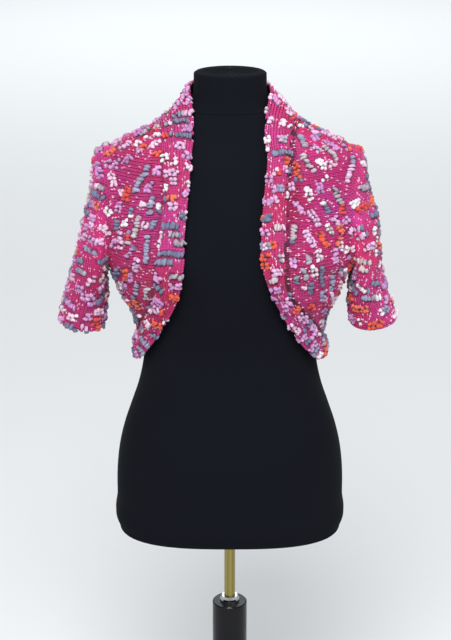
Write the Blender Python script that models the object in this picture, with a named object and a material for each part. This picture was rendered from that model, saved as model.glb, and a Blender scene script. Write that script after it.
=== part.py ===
# A knitted bolero shrug on a limbless dress form with a rod, column and round foot.
# Metres, +Z up. The front faces -Y and +X is to the right of someone facing it.
# The origin is on the floor, at the centre of the foot's underside.
import math

import bpy
import numpy as np

# The cloth
CLOTH_WALL = 0.0030  # the body and sleeves
BAND_WALL = 0.0036  # the band and cuffs
BAND_CROWN = 0.0035  # how far the band's middle stands out from its edges
SEAM_GAP = 0.0006  # between two pieces of cloth
SLEEVE_GAP = 0.0003  # how far the sleeve starts inside the armhole

# The stand
FOOT_RADIUS = 0.170
FOOT_HEIGHT = 0.014
FOOT_BEVEL = 0.005
COLUMN_RADIUS = 0.0285
COLUMN_TOP = 0.439
COLUMN_BEVEL = 0.0015
COLLAR_RADIUS = 0.0160  # the chrome collar that the rod comes up through
COLLAR_HEIGHT = 0.010
ROD_RADIUS = 0.0090
LUG_SIZE = (0.009, 0.012, 0.010)
LUG_PLACE = 0.0140  # from the rod's axis to the lug's middle
LUG_BEVEL = 0.0012
KNOT_RADIUS = 0.006
METAL_GAP = 0.0003


def table(names, *rows):
    """A table as its named columns."""
    return {name: np.array(column, float) for name, column in zip(names.split(), zip(*rows))}


# Polar sections of the dress form at each height: half its width, how far it reaches
# to the front and back, and the power that squares its corners (2 is an ellipse).
FORM_SECTIONS = table(
    "height half_width front back power",
    (0.580, 0.1500, 0.090, 0.094, 2.8),
    (0.584, 0.1690, 0.102, 0.106, 2.8),
    (0.596, 0.1800, 0.110, 0.114, 2.7),
    (0.640, 0.1820, 0.113, 0.123, 2.5),
    (0.690, 0.1805, 0.113, 0.126, 2.4),
    (0.728, 0.1755, 0.112, 0.120, 2.3),
    (0.763, 0.1670, 0.108, 0.109, 2.3),
    (0.797, 0.1555, 0.103, 0.098, 2.2),
    (0.831, 0.1440, 0.098, 0.090, 2.2),
    (0.865, 0.1365, 0.095, 0.086, 2.2),
    (0.895, 0.1335, 0.094, 0.085, 2.2),
    (0.930, 0.1370, 0.098, 0.088, 2.2),
    (0.970, 0.1450, 0.104, 0.094, 2.2),
    (1.010, 0.1520, 0.109, 0.100, 2.2),
    (1.050, 0.1570, 0.111, 0.104, 2.3),
    (1.090, 0.1600, 0.107, 0.106, 2.3),
    (1.130, 0.1620, 0.099, 0.106, 2.4),
    (1.170, 0.1630, 0.088, 0.103, 2.4),
    (1.200, 0.1640, 0.079, 0.095, 2.3),
    (1.212, 0.1600, 0.074, 0.089, 2.2),
    (1.222, 0.1490, 0.070, 0.083, 2.1),
    (1.232, 0.1308, 0.066, 0.077, 2.0),
    (1.243, 0.1110, 0.0625, 0.071, 2.0),
    (1.253, 0.0950, 0.0590, 0.066, 2.0),
    (1.263, 0.0810, 0.0560, 0.061, 2.0),
    (1.273, 0.0680, 0.0535, 0.057, 2.0),
    (1.283, 0.0590, 0.0520, 0.0545, 2.0),
    (1.300, 0.0548, 0.0510, 0.053, 2.0),
    (1.318, 0.0545, 0.0508, 0.0525, 2.0),
    (1.3225, 0.0535, 0.0498, 0.0515, 2.0),
    (1.324, 0.0510, 0.0475, 0.049, 2.0),
)

# The same for the middle of the cloth, from below the hem to above the collar's edge.
SHRUG_SECTIONS = table(
    "height half_width front back power",
    (0.850, 0.1500, 0.112, 0.100, 2.3),
    (0.870, 0.1490, 0.111, 0.099, 2.3),
    (0.890, 0.1475, 0.110, 0.098, 2.3),
    (0.915, 0.1445, 0.110, 0.098, 2.3),
    (0.950, 0.1500, 0.113, 0.101, 2.3),
    (0.985, 0.1670, 0.117, 0.106, 2.3),
    (1.010, 0.1780, 0.120, 0.110, 2.4),
    (1.030, 0.1840, 0.121, 0.112, 2.4),
    (1.055, 0.1890, 0.122, 0.114, 2.4),
    (1.090, 0.1930, 0.118, 0.116, 2.4),
    (1.130, 0.1940, 0.110, 0.116, 2.4),
    (1.170, 0.1930, 0.099, 0.113, 2.4),
    (1.198, 0.1890, 0.090, 0.105, 2.3),
    (1.211, 0.1790, 0.0855, 0.099, 2.2),
    (1.222, 0.1580, 0.0810, 0.092, 2.1),
    (1.232, 0.1360, 0.0770, 0.086, 2.0),
    (1.243, 0.1160, 0.0725, 0.080, 2.0),
    (1.253, 0.1000, 0.0685, 0.075, 2.0),
    (1.263, 0.0870, 0.0650, 0.071, 2.0),
    (1.275, 0.0760, 0.0620, 0.067, 2.0),
    (1.290, 0.0660, 0.0590, 0.063, 2.0),
    (1.305, 0.0600, 0.0565, 0.059, 2.0),
    (1.320, 0.0590, 0.0560, 0.058, 2.0),
)

# The bust, the same rise on the form and on the cloth over it
BUST = {"turn": 36.0, "turn_spread": 22.0, "height": 1.052, "spread": 0.050, "rise": 0.016}

# The armhole, a loop round the side of the body
ARMHOLE = {"top": 1.2115, "bottom": 1.0200, "front_reach": 23.0, "back_reach": 24.0}

# Stations down the band, from the top of the shoulder to the side: the seam with the
# front panel and the free edge, each as a turn from the centre front in degrees and a height.
BAND_LEFT = table(
    "seam_turn seam_height edge_turn edge_height",
    (90.0, 1.2500, 90.0, 1.3030),
    (75.0, 1.2460, 62.0, 1.2830),
    (60.0, 1.2280, 44.0, 1.2500),
    (50.0, 1.1950, 36.0, 1.2080),
    (45.5, 1.1500, 33.0, 1.1580),
    (43.5, 1.1000, 31.0, 1.1050),
    (42.0, 1.0550, 28.5, 1.0600),
    (47.0, 1.0100, 33.0, 1.0120),
    (56.0, 0.9760, 44.0, 0.9680),
    (67.0, 0.9480, 57.0, 0.9280),
    (78.0, 0.9260, 72.5, 0.8900),
    (90.0, 0.9120, 90.0, 0.8740),
)
BAND_RIGHT = table(
    "seam_turn seam_height edge_turn edge_height",
    (90.0, 1.2520, 90.0, 1.3000),
    (72.0, 1.2460, 60.0, 1.2820),
    (57.0, 1.2300, 42.0, 1.2500),
    (46.0, 1.1950, 34.5, 1.2080),
    (40.0, 1.1500, 27.5, 1.1580),
    (35.5, 1.1000, 22.5, 1.1050),
    (32.0, 1.0550, 21.0, 1.0600),
    (36.5, 1.0100, 27.0, 1.0160),
    (49.0, 0.9760, 37.5, 0.9750),
    (61.0, 0.9500, 50.0, 0.9340),
    (75.0, 0.9240, 67.0, 0.8930),
    (90.0, 0.9120, 90.0, 0.8740),
)
TIP_STATION = 2.2  # the station across from the shoulder's tip
UNDERARM_STATION = 7.4  # the station across from the underarm
SIDE_SEAM_FOOT = 0.9120  # the height of the band's last station, at the side
BACK_NECK = {"seam_height": 1.2500, "edge_height": 1.3060}
BACK_HEM = {"seam_height": 0.9120, "edge_height": 0.8760}
BACK_CENTRE = {"level_with_underarm": 1.0050, "level_with_tip": 1.2200}

# Rings of the sleeve from the armhole to the cuff's edge: the points at its outer and
# inner side, and half its depth from front to back.
SLEEVE_LEFT = table(
    "outer_x outer_z inner_x inner_z half_depth",
    (0.1950, 1.2080, 0.1842, 1.0243, 0.0740),
    (0.2035, 1.1960, 0.1880, 1.0250, 0.0730),
    (0.2062, 1.1750, 0.1910, 1.0215, 0.0720),
    (0.2090, 1.1480, 0.1925, 1.0150, 0.0700),
    (0.2190, 1.1120, 0.1932, 1.0065, 0.0665),
    (0.2310, 1.0690, 0.1937, 0.9955, 0.0620),
    (0.2420, 1.0240, 0.1940, 0.9815, 0.0570),
    (0.2525, 0.9830, 0.1942, 0.9660, 0.0520),
)
SLEEVE_RIGHT = table(
    "outer_x outer_z inner_x inner_z half_depth",
    (0.1930, 1.2075, 0.1842, 1.0243, 0.0740),
    (0.2010, 1.1945, 0.1875, 1.0250, 0.0730),
    (0.2040, 1.1740, 0.1896, 1.0215, 0.0720),
    (0.2095, 1.1460, 0.1900, 1.0150, 0.0705),
    (0.2220, 1.1110, 0.1896, 1.0065, 0.0675),
    (0.2272, 1.0690, 0.1888, 0.9955, 0.0630),
    (0.2332, 1.0240, 0.1877, 0.9815, 0.0570),
    (0.2430, 0.9830, 0.1865, 0.9670, 0.0520),
)
CUFF_LEFT = table(
    "outer_x outer_z inner_x inner_z half_depth",
    (0.2580, 0.9680, 0.1950, 0.9530, 0.0510),
    (0.2625, 0.9535, 0.1970, 0.9400, 0.0505),
    (0.2670, 0.9400, 0.1990, 0.9280, 0.0515),
)
CUFF_RIGHT = table(
    "outer_x outer_z inner_x inner_z half_depth",
    (0.2495, 0.9680, 0.1860, 0.9550, 0.0510),
    (0.2545, 0.9550, 0.1870, 0.9430, 0.0515),
    (0.2590, 0.9420, 0.1900, 0.9320, 0.0530),
)

# The largest folds: side -1 is left and +1 right, face -1 front and +1 back, then the
# ends of the fold in x (from the middle) and height, its half-width and how far it stands
# out (or in, where negative).
FOLDS = table(
    "side face x1 z1 x2 z2 spread rise",
    (1, -1, 0.096, 1.235, 0.083, 1.045, 0.0075, -0.0040),
    (1, -1, 0.118, 1.225, 0.108, 1.090, 0.0140, 0.0035),
    (1, -1, 0.186, 1.035, 0.120, 1.085, 0.0110, 0.0045),
    (1, -1, 0.182, 1.020, 0.110, 1.045, 0.0090, -0.0035),
    (1, -1, 0.198, 1.035, 0.190, 1.140, 0.0120, -0.0045),
    (1, -1, 0.165, 0.990, 0.115, 1.000, 0.0120, 0.0040),
    (-1, -1, 0.104, 1.200, 0.108, 1.070, 0.0090, -0.0030),
    (-1, -1, 0.130, 1.215, 0.145, 1.100, 0.0160, 0.0035),
    (-1, -1, 0.186, 1.035, 0.135, 1.095, 0.0110, 0.0045),
    (-1, -1, 0.180, 1.020, 0.128, 1.050, 0.0090, -0.0035),
    (-1, -1, 0.200, 1.030, 0.193, 1.130, 0.0120, -0.0045),
    (-1, -1, 0.165, 0.990, 0.125, 1.005, 0.0120, 0.0040),
    (1, 1, 0.185, 1.035, 0.110, 1.105, 0.0130, 0.0045),
    (1, 1, 0.180, 1.015, 0.090, 1.045, 0.0110, -0.0035),
    (1, 1, 0.170, 0.980, 0.060, 1.000, 0.0130, 0.0035),
    (1, 1, 0.200, 1.035, 0.192, 1.140, 0.0120, -0.0040),
    (-1, 1, 0.186, 1.030, 0.115, 1.110, 0.0120, 0.0040),
    (-1, 1, 0.180, 1.015, 0.085, 1.035, 0.0110, -0.0035),
    (-1, 1, 0.168, 0.980, 0.050, 0.995, 0.0140, 0.0035),
    (-1, 1, 0.201, 1.030, 0.194, 1.130, 0.0120, -0.0040),
)

# How many cells each piece of cloth is cut into
AROUND_ARMHOLE = 14  # along the front half of the armhole, and along the back half
DOWN_SIDE = 6
ALONG_SHOULDER = 8
ACROSS_FRONT = 8
ACROSS_BACK = 18
FIRST_CELL = 0.8  # the share that is kept of the cells at the front's two points
ACROSS_BAND = 4
LETS_GO = 6  # the ring by which the sleeve has left the armhole's shape
AROUND_FORM = 40

# How each surface looks; every piece gets a material of its own
KNIT = {"colour": (0.58, 0.035, 0.19, 1.0), "roughness": 0.85, "metallic": 0.0}
KNIT_BAND = {"colour": (0.50, 0.028, 0.15, 1.0), "roughness": 0.85, "metallic": 0.0}
JERSEY = {"colour": (0.012, 0.014, 0.020, 1.0), "roughness": 0.90, "metallic": 0.0}
BLACK_GLOSS = {"colour": (0.010, 0.010, 0.010, 1.0), "roughness": 0.18, "metallic": 0.0}
BLACK_STEEL = {"colour": (0.010, 0.010, 0.010, 1.0), "roughness": 0.45, "metallic": 0.0}
YELLOW_ZINC = {"colour": (0.55, 0.44, 0.16, 1.0), "roughness": 0.28, "metallic": 1.0}
CHROME = {"colour": (0.80, 0.80, 0.82, 1.0), "roughness": 0.10, "metallic": 1.0}


def smooth_column(knots, values, at):
    """A smooth curve through one column of a table, read at one or more places."""
    knots = np.asarray(knots, float)
    values = np.asarray(values, float)
    at = np.clip(np.asarray(at, float), knots[0], knots[-1])
    slope = np.gradient(values, knots)
    low = np.clip(np.searchsorted(knots, at, side="right") - 1, 0, len(knots) - 2)
    span = knots[low + 1] - knots[low]
    t = (at - knots[low]) / span
    return (
        values[low] * (1 + 2 * t) * (1 - t) ** 2
        + slope[low] * span * t * (1 - t) ** 2
        + values[low + 1] * t**2 * (3 - 2 * t)
        + slope[low + 1] * span * t**2 * (t - 1)
    )


def band_line(stations, which, places, side):
    """Turns and heights along the band's seam or its free edge, at places counted in
    stations, which may be fractions."""
    turn, height = stations[which + "_turn"], stations[which + "_height"]
    count = np.arange(len(turn))
    return np.stack(
        [side * smooth_column(count, turn, places), smooth_column(count, height, places)], -1
    )


def section_points(sections, turn, height):
    """Points on the surface through the sections, by turn in degrees and height."""
    half_width, front, back, power = (
        smooth_column(sections["height"], sections[name], height)
        for name in ("half_width", "front", "back", "power")
    )
    turn = (turn + 180) % 360 - 180
    angle = np.radians(turn)
    side, ahead = np.sin(angle), np.cos(angle)
    depth = np.where(ahead > 0, front, back)
    reach = (np.abs(side / half_width) ** power + np.abs(ahead / depth) ** power) ** (-1 / power)
    over_bust = np.exp(
        -(((np.abs(turn) - BUST["turn"]) / BUST["turn_spread"]) ** 2)
        - ((height - BUST["height"]) / BUST["spread"]) ** 2
    )
    reach = reach + BUST["rise"] * over_bust
    return np.stack([reach * side, -reach * ahead, height + 0 * reach], -1)


def section_normals(sections, turn, height):
    """Outward unit normals of the surface through the sections."""
    along = section_points(sections, turn + 0.5, height) - section_points(sections, turn - 0.5, height)
    up = section_points(sections, turn, height + 0.001) - section_points(sections, turn, height - 0.001)
    normal = np.cross(along, up)
    return normal / np.linalg.norm(normal, axis=-1, keepdims=True)


def smooth_step(x):
    x = np.clip(x, 0, 1)
    return x * x * (3 - 2 * x)


def folded(points):
    """The points moved by every fold that runs near them."""
    points = points.copy()
    x, y, z = points[..., 0], points[..., 1], points[..., 2]
    outward = np.stack([x - np.clip(x, -0.17, 0.17), y, 0 * z], -1)
    outward /= np.linalg.norm(outward, axis=-1, keepdims=True) + 1e-9
    rise = 0 * x
    for row in zip(*FOLDS.values()):
        fold = dict(zip(FOLDS, row))
        start = np.array([fold["side"] * fold["x1"], fold["z1"]])
        run = np.array([fold["side"] * fold["x2"], fold["z2"]]) - start
        away = np.stack([x, z], -1) - start
        along = np.clip(away @ run / (run @ run), 0, 1)
        off = np.linalg.norm(away - along[..., None] * run, axis=-1)
        taper = np.sqrt(np.clip(np.sin(np.pi * (0.08 + 0.84 * along)), 0, 1))
        facing = smooth_step((y * fold["face"] - 0.012) / 0.03)
        rise = rise + fold["rise"] * taper * facing * np.exp(-((off / fold["spread"]) ** 2))
    return points + rise[..., None] * outward


def armhole(side, around):
    """Turn and height of the armhole, from 0 at the shoulder down the front, 180 at the
    underarm and up the back to 360."""
    angle = np.radians(around)
    middle = (ARMHOLE["top"] + ARMHOLE["bottom"]) / 2
    reach = np.where(np.sin(angle) > 0, ARMHOLE["front_reach"], ARMHOLE["back_reach"])
    turn = 90 - reach * np.sin(angle)
    height = middle + (ARMHOLE["top"] - middle) * np.cos(angle)
    return side * turn, height


def grid_object(name, outer, inner, finish, closed=False):
    """A wall between two grids of points. A closed grid joins its last column to its first."""
    rows, columns = outer.shape[:2]
    points = np.concatenate([outer.reshape(-1, 3), inner.reshape(-1, 3)])
    shift = rows * columns
    faces = []
    for i in range(rows - 1):
        for j in range(columns if closed else columns - 1):
            k = (j + 1) % columns
            cell = (i * columns + j, i * columns + k, (i + 1) * columns + k, (i + 1) * columns + j)
            faces.append(cell)
            faces.append(tuple(shift + c for c in reversed(cell)))
    rim = [[i * columns + j for j in range(columns)] for i in (rows - 1, 0)]
    rims = [(rim[0], closed), (rim[1][::-1], closed)]
    if not closed:
        rims.append(([i * columns for i in range(rows)], False))
        rims.append(([i * columns + columns - 1 for i in range(rows)][::-1], False))
    for edge, whole in rims:
        for a, b in zip(edge, edge[1:] + edge[:1] if whole else edge[1:]):
            faces.append((a, b, shift + b, shift + a))
    mesh_object(name, points, faces, finish)


def mesh_object(name, points, faces, finish):
    """A smooth-shaded object with its own material, turned right side out."""
    mesh = bpy.data.meshes.new(name)
    mesh.from_pydata([tuple(map(float, p)) for p in points], [], faces)
    corners = np.array(points)
    volume = 0.0
    for face in faces:
        for a, b in zip(face[1:], face[2:]):
            volume += np.dot(corners[face[0]], np.cross(corners[a], corners[b]))
    if volume < 0:
        mesh.flip_normals()
    mesh.shade_smooth()
    mesh.set_sharp_from_angle(angle=math.radians(40))
    mesh.materials.append(new_material(name, finish))
    made = bpy.data.objects.new(name, mesh)
    bpy.context.scene.collection.objects.link(made)
    return made


def new_material(name, finish):
    made = bpy.data.materials.new(name)
    made.use_nodes = True
    shader = made.node_tree.nodes["Principled BSDF"]
    shader.inputs["Base Color"].default_value = finish["colour"]
    shader.inputs["Roughness"].default_value = finish["roughness"]
    shader.inputs["Metallic"].default_value = finish["metallic"]
    return made


def panel(name, grid, wall, finish, crown=0.0):
    """A piece of the body's cloth, from a grid of turns and heights."""
    turn, height = drawn_in(grid[..., 0], grid[..., 1])
    middle = section_points(SHRUG_SECTIONS, turn, height)
    normal = section_normals(SHRUG_SECTIONS, turn, height)
    lift = crown * np.sin(np.pi * np.linspace(0, 1, turn.shape[1]))[None, :, None]
    outer = folded(middle + normal * (lift + wall / 2))
    inner = folded(middle + normal * (lift - wall / 2))
    grid_object(name, outer, inner, finish)


def drawn_in(turn, height):
    """The grids with their outermost cells shortened, so that a seam gap is left all round."""
    at = section_points(SHRUG_SECTIONS, turn, height)
    for axis in (0, 1):
        for edge, beside in ((0, 1), (-1, -2)):
            here, there = [slice(None)] * 2, [slice(None)] * 2
            here[axis], there[axis] = edge, beside
            here, there = tuple(here), tuple(there)
            length = np.linalg.norm(at[here] - at[there], axis=-1)
            share = np.minimum(SEAM_GAP / 2 / np.maximum(length, 1e-6), 0.4)
            turn[here] += share * (turn[there] - turn[here])
            height[here] += share * (height[there] - height[here])
    return turn, height


def patch(bottom, top, left, right):
    """A grid between four edges that meet at the corners. Rows run from the bottom edge to
    the top one and columns from the left edge to the right one."""
    along = np.linspace(0, 1, len(bottom))[None, :, None]
    up = np.linspace(0, 1, len(left))[:, None, None]
    between_rows = (1 - up) * bottom[None] + up * top[None]
    between_columns = (1 - along) * left[:, None] + along * right[:, None]
    corners = (
        (1 - up) * (1 - along) * bottom[0]
        + (1 - up) * along * bottom[-1]
        + up * (1 - along) * top[0]
        + up * along * top[-1]
    )
    return between_rows + between_columns - corners


def outer_edge(side, back, neck_height):
    """Turns and heights from the neck out along the shoulder, down the armhole and on
    down the side seam to the hem's seam."""
    shoulder = np.linspace(neck_height, ARMHOLE["top"], ALONG_SHOULDER + 1)[:-1]
    turn, height = armhole(side, np.linspace(360 if back else 0, 180, AROUND_ARMHOLE + 1))
    seam = np.linspace(ARMHOLE["bottom"], SIDE_SEAM_FOOT, DOWN_SIDE + 1)[1:]
    heights = np.concatenate([shoulder, height, seam])
    turns = np.concatenate([side * 90 + 0 * shoulder, turn, side * 90 + 0 * seam])
    return np.stack([turns, heights], -1)


def band_places(stations):
    """Where the band's cells begin, in stations. They match the cells of the outer edge."""
    ends = (0, TIP_STATION, UNDERARM_STATION, len(stations["seam_turn"]) - 1)
    counts = (ALONG_SHOULDER, AROUND_ARMHOLE, DOWN_SIDE)
    runs = [np.linspace(a, b, n + 1)[1:] for a, b, n in zip(ends, ends[1:], counts)]
    return np.concatenate([[0], *runs])


def across(start, end, cells):
    """A grid of straight rungs from one line of points to another."""
    share = np.linspace(0, 1, cells + 1)[None, :, None]
    return start[:, None] * (1 - share) + end[:, None] * share


def make_front(name, side, stations):
    """The front, which comes to a point at the neck and at the foot of the side seam."""
    seam = band_line(stations, "seam", band_places(stations), side)
    outer = outer_edge(side, False, stations["seam_height"][0])
    for line in (seam, outer):
        line[0] = line[1] + FIRST_CELL * (line[0] - line[1])
        line[-1] = line[-2] + FIRST_CELL * (line[-1] - line[-2])
    panel(name, across(seam, outer, ACROSS_FRONT), CLOTH_WALL, KNIT)


def make_front_band(name, side, stations):
    places = band_places(stations)
    seam, edge = (band_line(stations, which, places, side) for which in ("seam", "edge"))
    panel(name, across(seam, edge, ACROSS_BAND), BAND_WALL, KNIT_BAND, BAND_CROWN)


def make_back(name):
    """The back in one piece, from two halves that share the centre line."""
    hem = back_line(BACK_HEM["seam_height"], "seam_height", -1)
    neck = back_line(BACK_NECK["seam_height"], "seam_height", 0)
    half = ACROSS_BACK // 2
    edges = {}
    for side, stations in ((-1, BAND_LEFT), (1, BAND_RIGHT)):
        edges[side] = outer_edge(side, True, stations["seam_height"][0])[::-1]
        edges[side][:, 0] %= 360
    underarm, tip, top = np.cumsum((DOWN_SIDE, AROUND_ARMHOLE, ALONG_SHOULDER))
    levels = (hem[half, 1], BACK_CENTRE["level_with_underarm"], BACK_CENTRE["level_with_tip"])
    rows = np.arange(top + 1)
    height = np.interp(rows, (0, underarm, tip, top), (*levels, neck[half, 1]))
    centre = np.stack([180 + 0 * height, height], -1)
    right = patch(hem[half::-1], neck[half::-1], centre, edges[1])[:, ::-1]
    left = patch(hem[half:], neck[half:], centre, edges[-1])
    panel(name, np.concatenate([right, left[:, 1:]], axis=1), CLOTH_WALL, KNIT)


def back_line(centre_height, column, row):
    """Turns and heights from the right side across the back to the left side, eased from
    the heights in that row of the band's two tables to the one at the centre."""
    share = np.linspace(-1, 1, ACROSS_BACK + 1)
    side_height = np.where(share < 0, BAND_RIGHT[column][row], BAND_LEFT[column][row])
    height = centre_height + (side_height - centre_height) * smooth_step(np.abs(share))
    return np.stack([180 + 90 * share, height], -1)


def make_back_band(name, end, row):
    """The collar behind the neck or the hem across the back, from side to side."""
    seam, edge = (back_line(end[column], column, row) for column in ("seam_height", "edge_height"))
    panel(name, across(seam, edge, ACROSS_BAND), BAND_WALL, KNIT_BAND, BAND_CROWN)


def sleeve_rings(side, rows):
    """Rings of points, from the shoulder side down the front and up the back."""
    around = np.radians(np.linspace(0, 360, 2 * AROUND_ARMHOLE + 1)[:-1])
    rings = []
    for outer_x, outer_z, inner_x, inner_z, half_depth in zip(*rows.values()):
        outer = np.array([side * outer_x, 0, outer_z])
        inner = np.array([side * inner_x, 0, inner_z])
        middle, reach = (outer + inner) / 2, (outer - inner) / 2
        ring = middle + np.cos(around)[:, None] * reach
        ring[:, 1] -= half_depth * np.sin(around)
        rings.append(ring)
    return np.array(rings)


def armhole_ring(side):
    """The armhole's own ring of points, and the surface's normals there."""
    turn, height = armhole(side, np.linspace(0, 360, 2 * AROUND_ARMHOLE + 1)[:-1])
    return section_points(SHRUG_SECTIONS, turn, height), section_normals(SHRUG_SECTIONS, turn, height)


def ring_normals(side, rings):
    """Outward normals of a tube through rings of points."""
    along = np.gradient(rings, axis=0)
    around = np.roll(rings, -1, axis=1) - np.roll(rings, 1, axis=1)
    normal = np.cross(along, around) * side
    normal /= np.linalg.norm(normal, axis=-1, keepdims=True)
    outward = rings - rings.mean(axis=1, keepdims=True)
    return normal * np.sign((normal * outward).sum(-1, keepdims=True).mean())


def make_sleeve(name, side, rows):
    """From the armhole to the cuff. Its first rings keep the armhole's shape, then let it go."""
    hole, hole_normal = armhole_ring(side)
    top, underarm = hole[0], hole[AROUND_ARMHOLE]
    first = (abs(top[0]), top[2], abs(underarm[0]), underarm[2], rows["half_depth"][0])
    plain = sleeve_rings(side, {k: np.append(v, rows[k]) for k, v in zip(rows, first)})
    keep = np.clip(1 - np.arange(len(plain)) / LETS_GO, 0, 1)[:, None, None] ** 1.5
    rings = plain + keep * (hole - plain[0])
    normal = ring_normals(side, rings)
    normal[0] = hole_normal
    normal[1] = normal[1] + hole_normal
    normal[1] /= np.linalg.norm(normal[1], axis=-1, keepdims=True)
    into_hole = np.cross(hole_normal, np.roll(hole, -1, axis=0) - np.roll(hole, 1, axis=0)) * side
    rings[0] += into_hole * SLEEVE_GAP / np.linalg.norm(into_hole, axis=-1, keepdims=True)
    outer = folded(rings + normal * CLOTH_WALL / 2)
    inner = folded(rings - normal * CLOTH_WALL / 2)
    grid_object(name, outer, inner, KNIT, closed=True)


def make_cuff(name, side, rows, sleeve_rows):
    """From the sleeve's last ring to the open edge."""
    rings = sleeve_rings(side, {k: np.append(sleeve_rows[k][-1], rows[k]) for k in rows})
    step = rings[1] - rings[0]
    rings[0] += step * SEAM_GAP / np.linalg.norm(step, axis=-1, keepdims=True)
    normal = ring_normals(side, rings)
    outer = rings + normal * BAND_WALL / 2
    inner = rings - normal * BAND_WALL / 2
    grid_object(name, outer, inner, KNIT_BAND, closed=True)


def make_form():
    """The covered torso and neck, closed at the top and underneath."""
    heights = FORM_SECTIONS["height"]
    turn = np.linspace(0, 360, AROUND_FORM + 1)[:-1]
    turn_grid, height_grid = np.meshgrid((turn + 180) % 360 - 180, heights)
    rings = section_points(FORM_SECTIONS, turn_grid, height_grid)
    points = rings.reshape(-1, 3)
    faces = []
    for i in range(len(heights) - 1):
        for j in range(AROUND_FORM):
            k = (j + 1) % AROUND_FORM
            low, high = i * AROUND_FORM, (i + 1) * AROUND_FORM
            faces.append((low + j, low + k, high + k, high + j))
    faces.append(tuple(range(AROUND_FORM))[::-1])
    faces.append(tuple(range((len(heights) - 1) * AROUND_FORM, len(heights) * AROUND_FORM)))
    mesh_object("form_torso", points, faces, JERSEY)


def turned(name, profile, finish, sides=40):
    """A turned solid from (radius, height) points, bottom to top."""
    points, faces = [], []
    for radius, height in profile:
        for i in range(sides):
            angle = 2 * math.pi * i / sides
            points.append((radius * math.cos(angle), radius * math.sin(angle), height))
    for i in range(len(profile) - 1):
        for j in range(sides):
            k = (j + 1) % sides
            faces.append((i * sides + j, i * sides + k, (i + 1) * sides + k, (i + 1) * sides + j))
    faces.append(tuple(range(sides))[::-1])
    faces.append(tuple(range((len(profile) - 1) * sides, len(profile) * sides)))
    mesh_object(name, points, faces, finish)


def ring_solid(name, profile, finish, sides=32):
    """A turned ring from a closed (radius, height) outline."""
    points, faces = [], []
    count = len(profile)
    for i in range(sides):
        angle = 2 * math.pi * i / sides
        for radius, height in profile:
            points.append((radius * math.cos(angle), radius * math.sin(angle), height))
    for i in range(sides):
        for j in range(count):
            k = (j + 1) % count
            a, b = i * count, ((i + 1) % sides) * count
            faces.append((a + j, b + j, b + k, a + k))
    mesh_object(name, points, faces, finish)


def bevelled_box(name, size, place, finish, bevel):
    points = [
        tuple(middle + sign * length / 2 for middle, sign, length in zip(place, signs, size))
        for signs in (
            (-1, -1, -1), (1, -1, -1), (1, 1, -1), (-1, 1, -1),
            (-1, -1, 1), (1, -1, 1), (1, 1, 1), (-1, 1, 1),
        )
    ]
    faces = [(3, 2, 1, 0), (4, 5, 6, 7), (0, 1, 5, 4), (1, 2, 6, 5), (2, 3, 7, 6), (3, 0, 4, 7)]
    edge = mesh_object(name, points, faces, finish).modifiers.new("edge", "BEVEL")
    edge.width = bevel
    edge.segments = 2


def make_stand():
    turned(
        "stand_foot",
        (
            (FOOT_RADIUS, 0.0),
            (FOOT_RADIUS, FOOT_HEIGHT - FOOT_BEVEL),
            (FOOT_RADIUS - FOOT_BEVEL * 0.3, FOOT_HEIGHT - FOOT_BEVEL * 0.3),
            (FOOT_RADIUS - FOOT_BEVEL, FOOT_HEIGHT),
        ),
        BLACK_GLOSS,
        sides=64,
    )
    turned(
        "stand_column",
        (
            (COLUMN_RADIUS, FOOT_HEIGHT + METAL_GAP),
            (COLUMN_RADIUS, COLUMN_TOP - COLUMN_BEVEL),
            (COLUMN_RADIUS - COLUMN_BEVEL, COLUMN_TOP),
        ),
        BLACK_GLOSS,
    )
    collar_foot = COLUMN_TOP + METAL_GAP
    collar_top = collar_foot + COLLAR_HEIGHT
    bore = ROD_RADIUS + METAL_GAP
    ring_solid(
        "stand_collar",
        (
            (bore, collar_foot),
            (COLLAR_RADIUS, collar_foot),
            (COLLAR_RADIUS, collar_foot + COLLAR_HEIGHT * 0.35),
            (COLLAR_RADIUS * 0.86, collar_foot + COLLAR_HEIGHT * 0.55),
            (COLLAR_RADIUS * 0.80, collar_top),
            (bore, collar_top),
        ),
        CHROME,
    )
    rod_top = FORM_SECTIONS["height"][0] - METAL_GAP
    turned(
        "stand_rod",
        ((ROD_RADIUS, collar_foot), (ROD_RADIUS, rod_top)),
        YELLOW_ZINC,
        sides=32,
    )
    bevelled_box(
        "form_lug",
        LUG_SIZE,
        (LUG_PLACE, 0, rod_top - LUG_SIZE[2] / 2),
        BLACK_STEEL,
        LUG_BEVEL,
    )


def make_knot():
    """The small gathered knot of the cover, on top of the neck."""
    foot = FORM_SECTIONS["height"][-1] + METAL_GAP
    turned(
        "form_knot",
        (
            (KNOT_RADIUS * 0.80, foot),
            (KNOT_RADIUS, foot + KNOT_RADIUS * 0.25),
            (KNOT_RADIUS * 0.75, foot + KNOT_RADIUS * 0.55),
            (KNOT_RADIUS * 0.20, foot + KNOT_RADIUS * 0.66),
        ),
        JERSEY,
        sides=16,
    )


def make_shrug():
    make_front("front_left", -1, BAND_LEFT)
    make_front("front_right", 1, BAND_RIGHT)
    make_back("back")
    make_sleeve("sleeve_left", -1, SLEEVE_LEFT)
    make_sleeve("sleeve_right", 1, SLEEVE_RIGHT)
    make_cuff("cuff_left", -1, CUFF_LEFT, SLEEVE_LEFT)
    make_cuff("cuff_right", 1, CUFF_RIGHT, SLEEVE_RIGHT)
    make_front_band("band_front_left", -1, BAND_LEFT)
    make_front_band("band_front_right", 1, BAND_RIGHT)
    make_back_band("band_collar", BACK_NECK, 0)
    make_back_band("band_hem", BACK_HEM, -1)


def main():
    for old in list(bpy.data.objects):
        bpy.data.objects.remove(old, do_unlink=True)
    make_form()
    make_knot()
    make_stand()
    make_shrug()


main()
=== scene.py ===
# The looks of a knitted shrug on its dress form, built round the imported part.
# Metres, +Z up, the front faces -Y. Left is -X.
import math

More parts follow.
